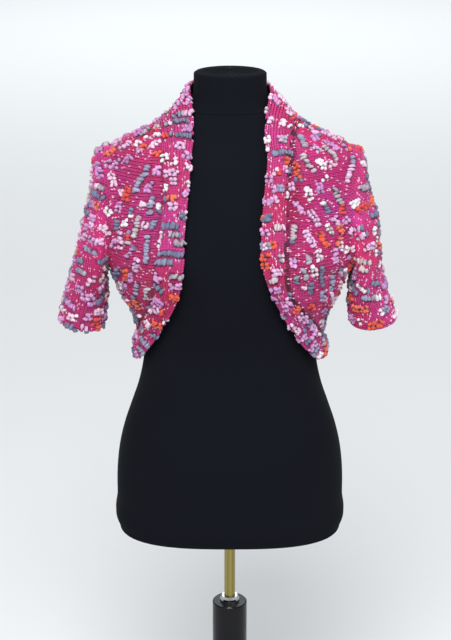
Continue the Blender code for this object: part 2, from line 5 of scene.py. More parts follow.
import bpy
import numpy as np
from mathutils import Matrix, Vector
from mathutils.kdtree import KDTree


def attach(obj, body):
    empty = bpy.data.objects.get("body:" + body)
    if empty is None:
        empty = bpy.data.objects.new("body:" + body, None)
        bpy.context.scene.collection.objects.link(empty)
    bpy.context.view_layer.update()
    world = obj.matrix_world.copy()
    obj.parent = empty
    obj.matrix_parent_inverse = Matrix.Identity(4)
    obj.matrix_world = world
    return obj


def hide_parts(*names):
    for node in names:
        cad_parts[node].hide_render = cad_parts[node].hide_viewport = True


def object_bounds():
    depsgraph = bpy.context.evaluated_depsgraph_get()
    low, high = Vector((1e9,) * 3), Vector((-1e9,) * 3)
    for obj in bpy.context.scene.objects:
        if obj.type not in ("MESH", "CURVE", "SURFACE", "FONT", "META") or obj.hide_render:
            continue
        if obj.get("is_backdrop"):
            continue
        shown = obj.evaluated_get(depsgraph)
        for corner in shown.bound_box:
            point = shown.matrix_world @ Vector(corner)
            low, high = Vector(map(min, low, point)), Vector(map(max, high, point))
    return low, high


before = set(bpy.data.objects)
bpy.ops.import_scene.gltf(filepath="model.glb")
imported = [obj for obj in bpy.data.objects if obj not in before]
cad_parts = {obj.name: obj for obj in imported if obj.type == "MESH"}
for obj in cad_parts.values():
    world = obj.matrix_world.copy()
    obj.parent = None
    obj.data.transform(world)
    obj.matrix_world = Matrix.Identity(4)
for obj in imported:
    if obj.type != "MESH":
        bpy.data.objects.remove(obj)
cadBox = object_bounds()
print("frame loaded")


def table(names, *rows):  # named columns
    return {name: np.array(column, float) for name, column in zip(names.split(), zip(*rows))}


# Polar sections of the dress form at each height: half its width, how far it reaches
# to the front and back, and the power that squares its corners (2 is an ellipse).
formSections = table(
    "height halfWidth front back power",
    (0.580, 0.1500, 0.090, 0.094, 2.8),
    (0.584, 0.1690, 0.102, 0.106, 2.8),
    (0.596, 0.1800, 0.110, 0.114, 2.7),
    (0.640, 0.1820, 0.113, 0.123, 2.5),
    (0.690, 0.1805, 0.113, 0.126, 2.4),
    (0.728, 0.1755, 0.112, 0.120, 2.3),
    (0.763, 0.1670, 0.108, 0.109, 2.3),
    (0.797, 0.1555, 0.103, 0.098, 2.2),
    (0.831, 0.1440, 0.098, 0.090, 2.2),
    (0.865, 0.1365, 0.095, 0.086, 2.2),
    (0.895, 0.1335, 0.094, 0.085, 2.2),
    (0.930, 0.1370, 0.098, 0.088, 2.2),
    (0.970, 0.1450, 0.104, 0.094, 2.2),
    (1.010, 0.1520, 0.109, 0.100, 2.2),
    (1.050, 0.1570, 0.111, 0.104, 2.3),
    (1.090, 0.1600, 0.107, 0.106, 2.3),
    (1.130, 0.1620, 0.099, 0.106, 2.4),
    (1.170, 0.1630, 0.088, 0.103, 2.4),
    (1.200, 0.1640, 0.079, 0.095, 2.3),
    (1.212, 0.1600, 0.074, 0.089, 2.2),
    (1.222, 0.1490, 0.070, 0.083, 2.1),
    (1.232, 0.1308, 0.066, 0.077, 2.0),
    (1.243, 0.1110, 0.0625, 0.071, 2.0),
    (1.253, 0.0950, 0.0590, 0.066, 2.0),
    (1.263, 0.0810, 0.0560, 0.061, 2.0),
    (1.273, 0.0680, 0.0535, 0.057, 2.0),
    (1.283, 0.0590, 0.0520, 0.0545, 2.0),
    (1.300, 0.0548, 0.0510, 0.053, 2.0),
    (1.318, 0.0545, 0.0508, 0.0525, 2.0),
    (1.3225, 0.0535, 0.0498, 0.0515, 2.0),
    (1.324, 0.0510, 0.0475, 0.049, 2.0),
)

# The same for the middle of the cloth, from below the hem to above the collar's edge.
shrugSections = table(
    "height halfWidth front back power",
    (0.850, 0.1500, 0.112, 0.100, 2.3),
    (0.870, 0.1490, 0.111, 0.099, 2.3),
    (0.890, 0.1475, 0.110, 0.098, 2.3),
    (0.915, 0.1445, 0.110, 0.098, 2.3),
    (0.950, 0.1500, 0.113, 0.101, 2.3),
    (0.985, 0.1670, 0.117, 0.106, 2.3),
    (1.010, 0.1780, 0.120, 0.110, 2.4),
    (1.030, 0.1840, 0.121, 0.112, 2.4),
    (1.055, 0.1890, 0.122, 0.114, 2.4),
    (1.090, 0.1930, 0.118, 0.116, 2.4),
    (1.130, 0.1940, 0.110, 0.116, 2.4),
    (1.170, 0.1930, 0.099, 0.113, 2.4),
    (1.198, 0.1890, 0.090, 0.105, 2.3),
    (1.211, 0.1790, 0.0855, 0.099, 2.2),
    (1.222, 0.1580, 0.0810, 0.092, 2.1),
    (1.232, 0.1360, 0.0770, 0.086, 2.0),
    (1.243, 0.1160, 0.0725, 0.080, 2.0),
    (1.253, 0.1000, 0.0685, 0.075, 2.0),
    (1.263, 0.0870, 0.0650, 0.071, 2.0),
    (1.275, 0.0760, 0.0620, 0.067, 2.0),
    (1.290, 0.0660, 0.0590, 0.063, 2.0),
    (1.305, 0.0600, 0.0565, 0.059, 2.0),
    (1.320, 0.0590, 0.0560, 0.058, 2.0),
)

# The bust, the same rise on the form and on the cloth over it
bust = {"turn": 36.0, "turnSpread": 22.0, "height": 1.052, "spread": 0.050, "rise": 0.016}

# The armhole, a loop round the side of the body
armholeSize = {"top": 1.2115, "bottom": 1.0200, "frontReach": 23.0, "backReach": 24.0}

# Stations down the band, from the top of the shoulder to the side: the seam with the
# front panel and the free edge, each as a turn from the centre front in degrees and a height.
bandLeft = table(
    "seamTurn seamHeight edgeTurn edgeHeight",
    (90.0, 1.2500, 90.0, 1.3030),
    (75.0, 1.2460, 62.0, 1.2830),
    (60.0, 1.2280, 44.0, 1.2500),
    (50.0, 1.1950, 36.0, 1.2080),
    (45.5, 1.1500, 33.0, 1.1580),
    (43.5, 1.1000, 31.0, 1.1050),
    (42.0, 1.0550, 28.5, 1.0600),
    (47.0, 1.0100, 33.0, 1.0120),
    (56.0, 0.9760, 44.0, 0.9680),
    (67.0, 0.9480, 57.0, 0.9280),
    (78.0, 0.9260, 72.5, 0.8900),
    (90.0, 0.9120, 90.0, 0.8740),
)
bandRight = table(
    "seamTurn seamHeight edgeTurn edgeHeight",
    (90.0, 1.2520, 90.0, 1.3000),
    (72.0, 1.2460, 60.0, 1.2820),
    (57.0, 1.2300, 42.0, 1.2500),
    (46.0, 1.1950, 34.5, 1.2080),
    (40.0, 1.1500, 27.5, 1.1580),
    (35.5, 1.1000, 22.5, 1.1050),
    (32.0, 1.0550, 21.0, 1.0600),
    (36.5, 1.0100, 27.0, 1.0160),
    (49.0, 0.9760, 37.5, 0.9750),
    (61.0, 0.9500, 50.0, 0.9340),
    (75.0, 0.9240, 67.0, 0.8930),
    (90.0, 0.9120, 90.0, 0.8740),
)
tipStation = 2.2  # the station across from the shoulder's tip
underarmStation = 7.4  # the station across from the underarm
sideSeamFoot = 0.9120  # the height of the band's last station, at the side
backNeck = {"seamHeight": 1.2500, "edgeHeight": 1.3060}
backHem = {"seamHeight": 0.9120, "edgeHeight": 0.8760}
backCentre = {"levelWithUnderarm": 1.0050, "levelWithTip": 1.2200}

# Rings of the sleeve from the armhole to the cuff's edge: the points at its outer and
# inner side, and half its depth from front to back.
sleeveLeft = table(
    "outerX outerZ innerX innerZ halfDepth",
    (0.1950, 1.2080, 0.1842, 1.0243, 0.0740),
    (0.2035, 1.1960, 0.1880, 1.0250, 0.0730),
    (0.2062, 1.1750, 0.1910, 1.0215, 0.0720),
    (0.2090, 1.1480, 0.1925, 1.0150, 0.0700),
    (0.2190, 1.1120, 0.1932, 1.0065, 0.0665),
    (0.2310, 1.0690, 0.1937, 0.9955, 0.0620),
    (0.2420, 1.0240, 0.1940, 0.9815, 0.0570),
    (0.2525, 0.9830, 0.1942, 0.9660, 0.0520),
)
sleeveRight = table(
    "outerX outerZ innerX innerZ halfDepth",
    (0.1930, 1.2075, 0.1842, 1.0243, 0.0740),
    (0.2010, 1.1945, 0.1875, 1.0250, 0.0730),
    (0.2040, 1.1740, 0.1896, 1.0215, 0.0720),
    (0.2095, 1.1460, 0.1900, 1.0150, 0.0705),
    (0.2220, 1.1110, 0.1896, 1.0065, 0.0675),
    (0.2272, 1.0690, 0.1888, 0.9955, 0.0630),
    (0.2332, 1.0240, 0.1877, 0.9815, 0.0570),
    (0.2430, 0.9830, 0.1865, 0.9670, 0.0520),
)
cuffLeft = table(
    "outerX outerZ innerX innerZ halfDepth",
    (0.2580, 0.9680, 0.1950, 0.9530, 0.0510),
    (0.2625, 0.9535, 0.1970, 0.9400, 0.0505),
    (0.2670, 0.9400, 0.1990, 0.9280, 0.0515),
)
cuffRight = table(
    "outerX outerZ innerX innerZ halfDepth",
    (0.2495, 0.9680, 0.1860, 0.9550, 0.0510),
    (0.2545, 0.9550, 0.1870, 0.9430, 0.0515),
    (0.2590, 0.9420, 0.1900, 0.9320, 0.0530),
)

# The largest folds: side -1 is left and +1 right, face -1 front and +1 back, then the
# ends of the fold in x (from the middle) and height, its half-width and how far it stands
# out (or in, where negative).
folds = table(
    "side face x1 z1 x2 z2 spread rise",
    (1, -1, 0.096, 1.235, 0.083, 1.045, 0.0075, -0.0040),
    (1, -1, 0.118, 1.225, 0.108, 1.090, 0.0140, 0.0035),
    (1, -1, 0.186, 1.035, 0.120, 1.085, 0.0110, 0.0045),
    (1, -1, 0.182, 1.020, 0.110, 1.045, 0.0090, -0.0035),
    (1, -1, 0.198, 1.035, 0.190, 1.140, 0.0120, -0.0045),
    (1, -1, 0.165, 0.990, 0.115, 1.000, 0.0120, 0.0040),
    (-1, -1, 0.104, 1.200, 0.108, 1.070, 0.0090, -0.0030),
    (-1, -1, 0.130, 1.215, 0.145, 1.100, 0.0160, 0.0035),
    (-1, -1, 0.186, 1.035, 0.135, 1.095, 0.0110, 0.0045),
    (-1, -1, 0.180, 1.020, 0.128, 1.050, 0.0090, -0.0035),
    (-1, -1, 0.200, 1.030, 0.193, 1.130, 0.0120, -0.0045),
    (-1, -1, 0.165, 0.990, 0.125, 1.005, 0.0120, 0.0040),
    (1, 1, 0.185, 1.035, 0.110, 1.105, 0.0130, 0.0045),
    (1, 1, 0.180, 1.015, 0.090, 1.045, 0.0110, -0.0035),
    (1, 1, 0.170, 0.980, 0.060, 1.000, 0.0130, 0.0035),
    (1, 1, 0.200, 1.035, 0.192, 1.140, 0.0120, -0.0040),
    (-1, 1, 0.186, 1.030, 0.115, 1.110, 0.0120, 0.0040),
    (-1, 1, 0.180, 1.015, 0.085, 1.035, 0.0110, -0.0035),
    (-1, 1, 0.168, 0.980, 0.050, 0.995, 0.0140, 0.0035),
    (-1, 1, 0.201, 1.030, 0.194, 1.130, 0.0120, -0.0040),
)


# The smaller creases, laid over the folds and shared by the hidden sides
creases = table(
    "side face x1 z1 x2 z2 spread rise",
    (1, -1, 0.090, 1.215, 0.080, 1.060, 0.0070, -0.0060),
    (1, -1, 0.104, 1.200, 0.098, 1.110, 0.0070, 0.0030),
    (1, -1, 0.150, 1.200, 0.140, 1.130, 0.0090, -0.0020),
    (1, -1, 0.188, 1.050, 0.130, 1.120, 0.0060, 0.0028),
    (1, -1, 0.184, 1.028, 0.128, 1.062, 0.0050, 0.0026),
    (1, -1, 0.178, 1.005, 0.120, 1.018, 0.0055, -0.0026),
    (1, -1, 0.172, 0.975, 0.128, 0.972, 0.0060, 0.0024),
    (1, -1, 0.214, 1.150, 0.212, 1.080, 0.0070, -0.0026),
    (1, -1, 0.226, 1.060, 0.205, 1.010, 0.0060, 0.0026),
    (1, -1, 0.215, 1.010, 0.228, 0.975, 0.0060, -0.0030),
    (-1, -1, 0.118, 1.190, 0.126, 1.120, 0.0080, -0.0022),
    (-1, -1, 0.150, 1.180, 0.158, 1.110, 0.0080, 0.0020),
    (-1, -1, 0.188, 1.050, 0.140, 1.125, 0.0060, 0.0028),
    (-1, -1, 0.184, 1.028, 0.130, 1.070, 0.0050, 0.0026),
    (-1, -1, 0.178, 1.002, 0.128, 1.022, 0.0055, -0.0028),
    (-1, -1, 0.172, 0.972, 0.134, 0.985, 0.0060, 0.0026),
    (-1, -1, 0.214, 1.150, 0.218, 1.080, 0.0070, -0.0028),
    (-1, -1, 0.228, 1.060, 0.212, 1.005, 0.0060, 0.0028),
    (1, 1, 0.188, 1.055, 0.130, 1.150, 0.0070, -0.0028),
    (1, 1, 0.182, 1.025, 0.110, 1.070, 0.0060, 0.0030),
    (1, 1, 0.172, 0.990, 0.070, 1.020, 0.0080, -0.0024),
    (1, 1, 0.120, 0.955, 0.020, 0.950, 0.0080, 0.0024),
    (1, 1, 0.218, 1.140, 0.222, 1.070, 0.0070, -0.0028),
    (1, 1, 0.226, 1.050, 0.208, 1.005, 0.0060, 0.0028),
    (-1, 1, 0.188, 1.050, 0.120, 1.140, 0.0070, -0.0028),
    (-1, 1, 0.182, 1.022, 0.105, 1.060, 0.0060, 0.0032),
    (-1, 1, 0.170, 0.992, 0.080, 1.012, 0.0080, -0.0026),
    (-1, 1, 0.100, 0.948, 0.010, 0.962, 0.0080, 0.0022),
    (-1, 1, 0.220, 1.140, 0.226, 1.070, 0.0070, -0.0028),
    (-1, 1, 0.230, 1.055, 0.212, 1.005, 0.0060, 0.0028),
)
cells = {"shoulder": 20, "armhole": 34, "side": 22, "front": 24, "back": 64, "band": 12}


def smoothColumn(knots, values, at):  # a smooth curve through a table's column
    knots = np.asarray(knots, float)
    values = np.asarray(values, float)
    at = np.clip(np.asarray(at, float), knots[0], knots[-1])
    slope = np.gradient(values, knots)
    low = np.clip(np.searchsorted(knots, at, side="right") - 1, 0, len(knots) - 2)
    span = knots[low + 1] - knots[low]
    t = (at - knots[low]) / span
    return (
        values[low] * (1 + 2 * t) * (1 - t) ** 2
        + slope[low] * span * t * (1 - t) ** 2
        + values[low + 1] * t**2 * (3 - 2 * t)
        + slope[low + 1] * span * t**2 * (t - 1)
    )


def smoothStep(x):
    x = np.clip(x, 0, 1)
    return x * x * (3 - 2 * x)


def unit(v):
    return v / np.maximum(np.linalg.norm(v, axis=-1, keepdims=True), 1e-12)


def sectionPoints(sections, turn, height):  # turn is in degrees from the centre front
    halfWidth, front, back, power = (
        smoothColumn(sections["height"], sections[name], height)
        for name in ("halfWidth", "front", "back", "power")
    )
    turn = (turn + 180) % 360 - 180
    angle = np.radians(turn)
    side, ahead = np.sin(angle), np.cos(angle)
    depth = np.where(ahead > 0, front, back)
    reach = (np.abs(side / halfWidth) ** power + np.abs(ahead / depth) ** power) ** (-1 / power)
    overBust = np.exp(
        -(((np.abs(turn) - bust["turn"]) / bust["turnSpread"]) ** 2)
        - ((height - bust["height"]) / bust["spread"]) ** 2
    )
    reach = reach + bust["rise"] * overBust
    return np.stack([reach * side, -reach * ahead, height + 0 * reach], -1)


def sectionNormals(sections, turn, height):
    def across(turnStep, heightStep):
        after = sectionPoints(sections, turn + turnStep, height + heightStep)
        return after - sectionPoints(sections, turn - turnStep, height - heightStep)

    return unit(np.cross(across(0.5, 0), across(0, 0.001)))


def foldRise(rows, x, y, z):  # how far these folds push the cloth out
    rise = 0 * x
    for row in zip(*rows.values()):
        fold = dict(zip(rows, row))
        start = np.array([fold["side"] * fold["x1"], fold["z1"]])
        run = np.array([fold["side"] * fold["x2"], fold["z2"]]) - start
        away = np.stack([x, z], -1) - start
        along = np.clip(away @ run / (run @ run), 0, 1)
        off = np.linalg.norm(away - along[..., None] * run, axis=-1)
        taper = np.sqrt(np.clip(np.sin(np.pi * (0.08 + 0.84 * along)), 0, 1))
        facing = smoothStep((y * fold["face"] - 0.012) / 0.03)
        rise = rise + fold["rise"] * taper * facing * np.exp(-((off / fold["spread"]) ** 2))
    return rise


def folded(points):  # the large folds, then the small creases
    x, y, z = points[..., 0], points[..., 1], points[..., 2]
    outward = unit(np.stack([x - np.clip(x, -0.17, 0.17), y, 0 * z], -1) + 1e-9)
    rise = foldRise(folds, x, y, z) + foldRise(creases, x, y, z)
    return points + rise[..., None] * outward


def bandLine(stations, which, places, side):
    count = np.arange(len(stations["seamTurn"]))
    turn = side * smoothColumn(count, stations[which + "Turn"], places)
    return np.stack([turn, smoothColumn(count, stations[which + "Height"], places)], -1)


def armhole(side, around):  # 0 at the shoulder, down the front, 180 underarm, up the back
    angle = np.radians(around)
    middle = (armholeSize["top"] + armholeSize["bottom"]) / 2
    reach = np.where(np.sin(angle) > 0, armholeSize["frontReach"], armholeSize["backReach"])
    turn = side * (90 - reach * np.sin(angle))
    return turn, middle + (armholeSize["top"] - middle) * np.cos(angle)


def outerEdge(side, back, neckHeight):  # neck, shoulder, armhole, side seam
    shoulder = np.linspace(neckHeight, armholeSize["top"], cells["shoulder"] + 1)[:-1]
    turn, height = armhole(side, np.linspace(360 if back else 0, 180, cells["armhole"] + 1))
    seam = np.linspace(armholeSize["bottom"], sideSeamFoot, cells["side"] + 1)[1:]
    turns = np.concatenate([side * 90 + 0 * shoulder, turn, side * 90 + 0 * seam])
    return np.stack([turns, np.concatenate([shoulder, height, seam])], -1)


def bandPlaces(stations):
    ends = (0, tipStation, underarmStation, len(stations["seamTurn"]) - 1)
    counts = (cells["shoulder"], cells["armhole"], cells["side"])
    runs = [np.linspace(a, b, n + 1)[1:] for a, b, n in zip(ends, ends[1:], counts)]
    return np.concatenate([[0], *runs])


def rungs(start, end, count):
    share = np.linspace(0, 1, count + 1)[None, :, None]
    return start[:, None] * (1 - share) + end[:, None] * share


def patch(bottom, top, left, right):  # a grid between four edges
    along = np.linspace(0, 1, len(bottom))[None, :, None]
    up = np.linspace(0, 1, len(left))[:, None, None]
    corners = (
        (1 - up) * (1 - along) * bottom[0]
        + (1 - up) * along * bottom[-1]
        + up * (1 - along) * top[0]
        + up * along * top[-1]
    )
    ruled = (1 - up) * bottom[None] + up * top[None]
    return ruled + (1 - along) * left[:, None] + along * right[:, None] - corners


def backLine(centreHeight, column, row):
    share = np.linspace(-1, 1, cells["back"] + 1)
    sideHeight = np.where(share < 0, bandRight[column][row], bandLeft[column][row])
    height = centreHeight + (sideHeight - centreHeight) * smoothStep(np.abs(share))
    return np.stack([180 + 90 * share, height], -1)


def backGrid():
    hem = backLine(backHem["seamHeight"], "seamHeight", -1)
    neck = backLine(backNeck["seamHeight"], "seamHeight", 0)
    half = cells["back"] // 2
    edges = {}
    for side, stations in ((-1, bandLeft), (1, bandRight)):
        edges[side] = outerEdge(side, True, stations["seamHeight"][0])[::-1]
        edges[side][:, 0] %= 360
    underarm, tip, top = np.cumsum((cells["side"], cells["armhole"], cells["shoulder"]))
    levels = (hem[half, 1], backCentre["levelWithUnderarm"], backCentre["levelWithTip"])
    height = np.interp(np.arange(top + 1), (0, underarm, tip, top), (*levels, neck[half, 1]))
    centre = np.stack([180 + 0 * height, height], -1)
    right = patch(hem[half::-1], neck[half::-1], centre, edges[1])[:, ::-1]
    return np.concatenate([right, patch(hem[half:], neck[half:], centre, edges[-1])[:, 1:]], axis=1)


def frontGrid(side, stations):
    seam = bandLine(stations, "seam", bandPlaces(stations), side)
    outer = outerEdge(side, False, stations["seamHeight"][0])
    for line in (seam, outer):
        line[0] = line[1] + 0.8 * (line[0] - line[1])
        line[-1] = line[-2] + 0.8 * (line[-1] - line[-2])
    return rungs(seam, outer, cells["front"])


def frontBandGrid(side, stations, places):
    seam, edge = (bandLine(stations, which, places, side) for which in ("seam", "edge"))
    return rungs(seam, edge, cells["band"])


def backBandGrid(end, row):
    seam, edge = (backLine(end[column], column, row) for column in ("seamHeight", "edgeHeight"))
    return rungs(seam, edge, cells["band"])


def sleeveRings(side, rows, angles):
    rings = []
    for outerX, outerZ, innerX, innerZ, halfDepth in zip(*rows.values()):
        outer = np.array([side * outerX, 0, outerZ])
        inner = np.array([side * innerX, 0, innerZ])
        ring = (outer + inner) / 2 + np.cos(angles)[:, None] * (outer - inner) / 2
        ring[:, 1] -= halfDepth * np.sin(angles)
        rings.append(ring)
    return np.array(rings)


def smoothRings(rings, count):  # more rings, smoothly between the given ones
    knots = np.arange(len(rings))
    at = np.linspace(0, len(rings) - 1, count)
    flat = rings.reshape(len(rings), -1)
    smooth = np.stack([smoothColumn(knots, column, at) for column in flat.T], -1)
    return smooth.reshape(count, *rings.shape[1:])


def sleeveGrid(side, rows, around, count):  # leaves the armhole's shape ring by ring
    angle = np.linspace(0, 360, around + 1)
    turn, height = armhole(side, angle)
    hole = sectionPoints(shrugSections, turn, height)
    top, underarm = hole[0], hole[around // 2]
    first = (abs(top[0]), top[2], abs(underarm[0]), underarm[2], rows["halfDepth"][0])
    whole = {k: np.append(v, rows[k]) for k, v in zip(rows, first)}
    plain = sleeveRings(side, whole, np.radians(angle))
    keep = np.clip(1 - np.arange(len(plain)) / 6, 0, 1)[:, None, None] ** 1.5
    return smoothRings(plain + keep * (hole - plain[0]), count)


def cuffGrid(side, rows, sleeveRows, around, count):
    whole = {k: np.append(sleeveRows[k][-1], rows[k]) for k in rows}
    return smoothRings(sleeveRings(side, whole, np.radians(np.linspace(0, 360, around + 1))), count)


def gridNormals(points, hint=None):  # outward ones
    normal = unit(np.cross(np.gradient(points, axis=0), np.gradient(points, axis=1)))
    if hint is None:
        hint = points - points.mean(axis=1, keepdims=True)
    return normal * np.sign((normal * hint).sum())


class Lattice:  # a dense grid of points and normals that can be read between its knots
    def __init__(self, points, hint):
        self.points = points
        self.normals = gridNormals(points, hint)

    def read(self, field, i, j):
        rows, columns = field.shape[:2]
        i, j = np.clip(i, 0, rows - 1.001), np.clip(j, 0, columns - 1.001)
        a, b = i.astype(int), j.astype(int)
        u, v = (i - a)[:, None], (j - b)[:, None]
        low = field[a, b] * (1 - v) + field[a, b + 1] * v
        return low * (1 - u) + (field[a + 1, b] * (1 - v) + field[a + 1, b + 1] * v) * u

    def walk(self, i, j, pitch, offset):  # even steps along a line given in grid places
        line = self.read(self.points, i, j)
        run = np.concatenate([[0], np.cumsum(np.linalg.norm(np.diff(line, axis=0), axis=1))])
        at = np.arange(pitch * offset, run[-1], pitch)
        if len(at) < 2:
            return None
        ii, jj = np.interp(at, run, i), np.interp(at, run, j)
        here = self.read(self.points, ii, jj)
        behind, ahead = (
            self.read(self.points, np.interp(at + step, run, i), np.interp(at + step, run, j))
            for step in (-0.002, 0.002)
        )
        return here, unit(self.read(self.normals, ii, jj)), unit(ahead - behind), ii, jj


def makeMesh(name, points, faces, material, smooth=True):
    mesh = bpy.data.meshes.new(name)
    mesh.from_pydata(np.asarray(points, float).tolist(), [], faces)
    mesh.materials.append(material)
    if smooth:
        mesh.shade_smooth()
    made = bpy.data.objects.new(name, mesh)
    bpy.context.scene.collection.objects.link(made)
    return made


def turnedOut(mesh):  # turns a closed shell right side out
    mesh.calc_loop_triangles()
    corners = np.empty(len(mesh.loop_triangles) * 3, np.int32)
    mesh.loop_triangles.foreach_get("vertices", corners)
    at = np.empty(len(mesh.vertices) * 3)
    mesh.vertices.foreach_get("co", at)
    a, b, c = at.reshape(-1, 3)[corners.reshape(-1, 3)].transpose(1, 0, 2)
    if np.einsum("ij,ij->i", a, np.cross(b, c)).sum() < 0:
        mesh.flip_normals()


def wall(name, outer, inner, places, material, closed=False):
    # a thin closed shell between two grids, with a map of (along, across) in metres
    if closed:
        outer, inner = outer[:, :-1], inner[:, :-1]
    rows, columns = outer.shape[:2]
    shift = rows * columns
    spans = np.arange(columns if closed else columns - 1)
    row, column = np.meshgrid(np.arange(rows - 1), spans, indexing="ij")
    a = (row * columns + column).ravel()
    b = (row * columns + (column + 1) % columns).ravel()
    front = np.stack([a, b, b + columns, a + columns], -1)
    faces = np.concatenate([front, front[:, ::-1] + shift])
    rims = [(np.arange(columns) + (rows - 1) * columns, closed), (np.arange(columns)[::-1], closed)]
    if not closed:
        rims.append((np.arange(rows) * columns, False))
        rims.append((np.arange(rows)[::-1] * columns + columns - 1, False))
    for edge, whole in rims:
        after = np.roll(edge, -1)
        keep = slice(None) if whole else slice(-1)
        p, q = edge[keep], after[keep]
        faces = np.concatenate([faces, np.stack([p, q, q + shift, p + shift], -1)])
    points = np.concatenate([outer.reshape(-1, 3), inner.reshape(-1, 3)])
    made = makeMesh(name, points, faces.tolist(), material)
    turnedOut(made.data)
    setMap(made.data, np.concatenate([places[:, :columns].reshape(-1, 2)] * 2))
    return made


def setMap(mesh, places):  # a map from each vertex's place
    loops = np.empty(len(mesh.loops), np.int32)
    mesh.loops.foreach_get("vertex_index", loops)
    layer = mesh.uv_layers.new(name="clothMap")
    layer.uv.foreach_set("vector", places[loops].astype(np.float32).ravel())


def lengths(points):  # how far along and across each grid point lies
    down = np.linalg.norm(np.diff(points, axis=0), axis=2)
    over = np.linalg.norm(np.diff(points, axis=1), axis=2)
    v = np.concatenate([0 * down[:1], np.cumsum(down, axis=0)])
    u = np.concatenate([0 * over[:, :1], np.cumsum(over, axis=1)], axis=1)
    return np.stack([u - u[:, -1:] / 2, v], -1)


cloth = {"below": 0.0015, "above": 0.0002, "bandAbove": 0.0005, "crown": 0.0035}


def bodyShell(name, grid, material, crown=0.0, above=None):
    turn, height = grid[..., 0], grid[..., 1]
    middle = sectionPoints(shrugSections, turn, height)
    normal = sectionNormals(shrugSections, turn, height)
    lift = crown * np.sin(np.pi * np.linspace(0, 1, turn.shape[1]))[None, :, None]
    outer = folded(middle + normal * (lift + (cloth["above"] if above is None else above)))
    inner = folded(middle + normal * (lift - cloth["below"]))
    return wall(name, outer, inner, lengths(outer), material)


def tubeShell(name, points, material, fold=True):
    normal = gridNormals(points)
    outer, inner = points + normal * cloth["above"], points - normal * cloth["below"]
    if fold:
        outer, inner = folded(outer), folded(inner)
    return wall(name, outer, inner, lengths(outer), material, closed=True)


class Wire:  # a node's socket whose sums and products add Math nodes
    def __init__(self, graph, socket):
        self.graph, self.socket = graph, socket

    def math(self, operation, *others):
        values = {i: v for i, v in enumerate((self, *others))}
        return self.graph.add("ShaderNodeMath", {"operation": operation}, values)

    def __add__(self, other):
        return self.math("ADD", other)

    def __sub__(self, other):
        return self.math("SUBTRACT", other)

    def __mul__(self, other):
        return self.math("MULTIPLY", other)

    __radd__ = __add__


class Graph:
    def __init__(self, tree):
        self.tree = tree

    def add(self, kind, settings=None, values=None, out=0):  # settings first, then sockets
        node = self.tree.nodes.new(kind)
        for name, value in (settings or {}).items():
            setattr(node, name, value)
        self.set(node, values or {})
        return Wire(self, node.outputs[out])

    def set(self, node, values):
        for name, value in values.items():
            if isinstance(value, Wire):
                self.tree.links.new(value.socket, node.inputs[name])
            else:
                node.inputs[name].default_value = value


class Finish(Graph):  # a material and its Principled shader
    def __init__(self, name, constants):
        self.material = bpy.data.materials.new(name)
        self.material.use_nodes = True
        super().__init__(self.material.node_tree)
        self.shader = self.tree.nodes["Principled BSDF"]
        self.set(self.shader, constants)
        self.place = self.add("ShaderNodeTexCoord", out="Object")

    def noise(self, scale, detail, vector=None):
        values = {"Vector": vector or self.place, "Scale": scale, "Detail": detail}
        return self.add("ShaderNodeTexNoise", {}, values, "Fac")

    def mix(self, share, a, b, kind="MIX"):
        settings = {"data_type": "RGBA", "blend_type": kind}
        return self.add("ShaderNodeMix", settings, {"Factor": share, 6: a, 7: b}, out=2)

    def darkened(self, share, own, shade, darkest):  # its own colour, darker where shade is low
        self.set(self.shader, {
            "Base Color": self.mix(share, own, self.mix(shade, darkest, (1, 1, 1, 1)), "MULTIPLY")
        })

    def bump(self, height, depth, strength):
        values = {"Height": height, "Distance": depth, "Strength": strength}
        self.set(self.shader, {"Normal": self.add("ShaderNodeBump", {}, values)})


yarnLook = {
    "roughness": 0.55,
    "sheen": 0.06,
    "shadeScale": 2600,
    "shadeShare": 0.30,
    "darkest": (0.2, 0.2, 0.2, 1),
    "fibreScale": 1900,
    "fibreDepth": 0.00025,
}
# its darkest colour is painted shade in the hollows of the fluff's bump
tuftLook = {
    "roughness": 0.95,
    "sheen": 0.15,
    "fluffScale": 1100,
    "shadeShare": 0.42,
    "darkest": (0.12, 0.12, 0.14, 1),
    "fibreDepth": 0.0018,
}
# colours darker than the yarn: painted shade between the stitches
groundShadeLook = {
    "colour": (0.170, 0.006, 0.050, 1),
    "light": (0.33, 0.018, 0.11, 1),
    "ribs": {"Scale": 60.0, "Distortion": 1.5, "Detail Scale": 6.0},
    "loops": {"Scale": 78.0, "Distortion": 2.0, "Detail Scale": 6.0},
    "depth": 0.0012,
}
jerseyLook = {
    "colour": (0.0036, 0.0041, 0.0064, 1),
    "light": (0.0068, 0.0076, 0.0112, 1),
    "weaveScale": 1500,
    "dustScale": 9.0,
    "depth": 0.00012,
}


def yarnFinish():
    f = Finish("slubYarn", {"Roughness": yarnLook["roughness"], "Sheen Weight": yarnLook["sheen"]})
    own = f.add("ShaderNodeAttribute", {"attribute_name": "yarnColour"}, out="Color")
    shade = f.noise(yarnLook["shadeScale"], 2.0)
    f.darkened(yarnLook["shadeShare"], own, shade, yarnLook["darkest"])
    f.bump(f.noise(yarnLook["fibreScale"], 3.0), yarnLook["fibreDepth"], 0.7)
    return f.material


def tuftFinish():
    f = Finish("tuftWool", {"Roughness": tuftLook["roughness"], "Sheen Weight": tuftLook["sheen"]})
    own = f.add("ShaderNodeAttribute", {"attribute_name": "yarnColour"}, out="Color")
    fluff = f.noise(tuftLook["fluffScale"], 4.0)
    # painted shade: darker where the fluff's bump is low
    f.darkened(tuftLook["shadeShare"], own, (fluff - 0.32) * 3.0, tuftLook["darkest"])
    f.bump(fluff, tuftLook["fibreDepth"], 0.9)
    return f.material


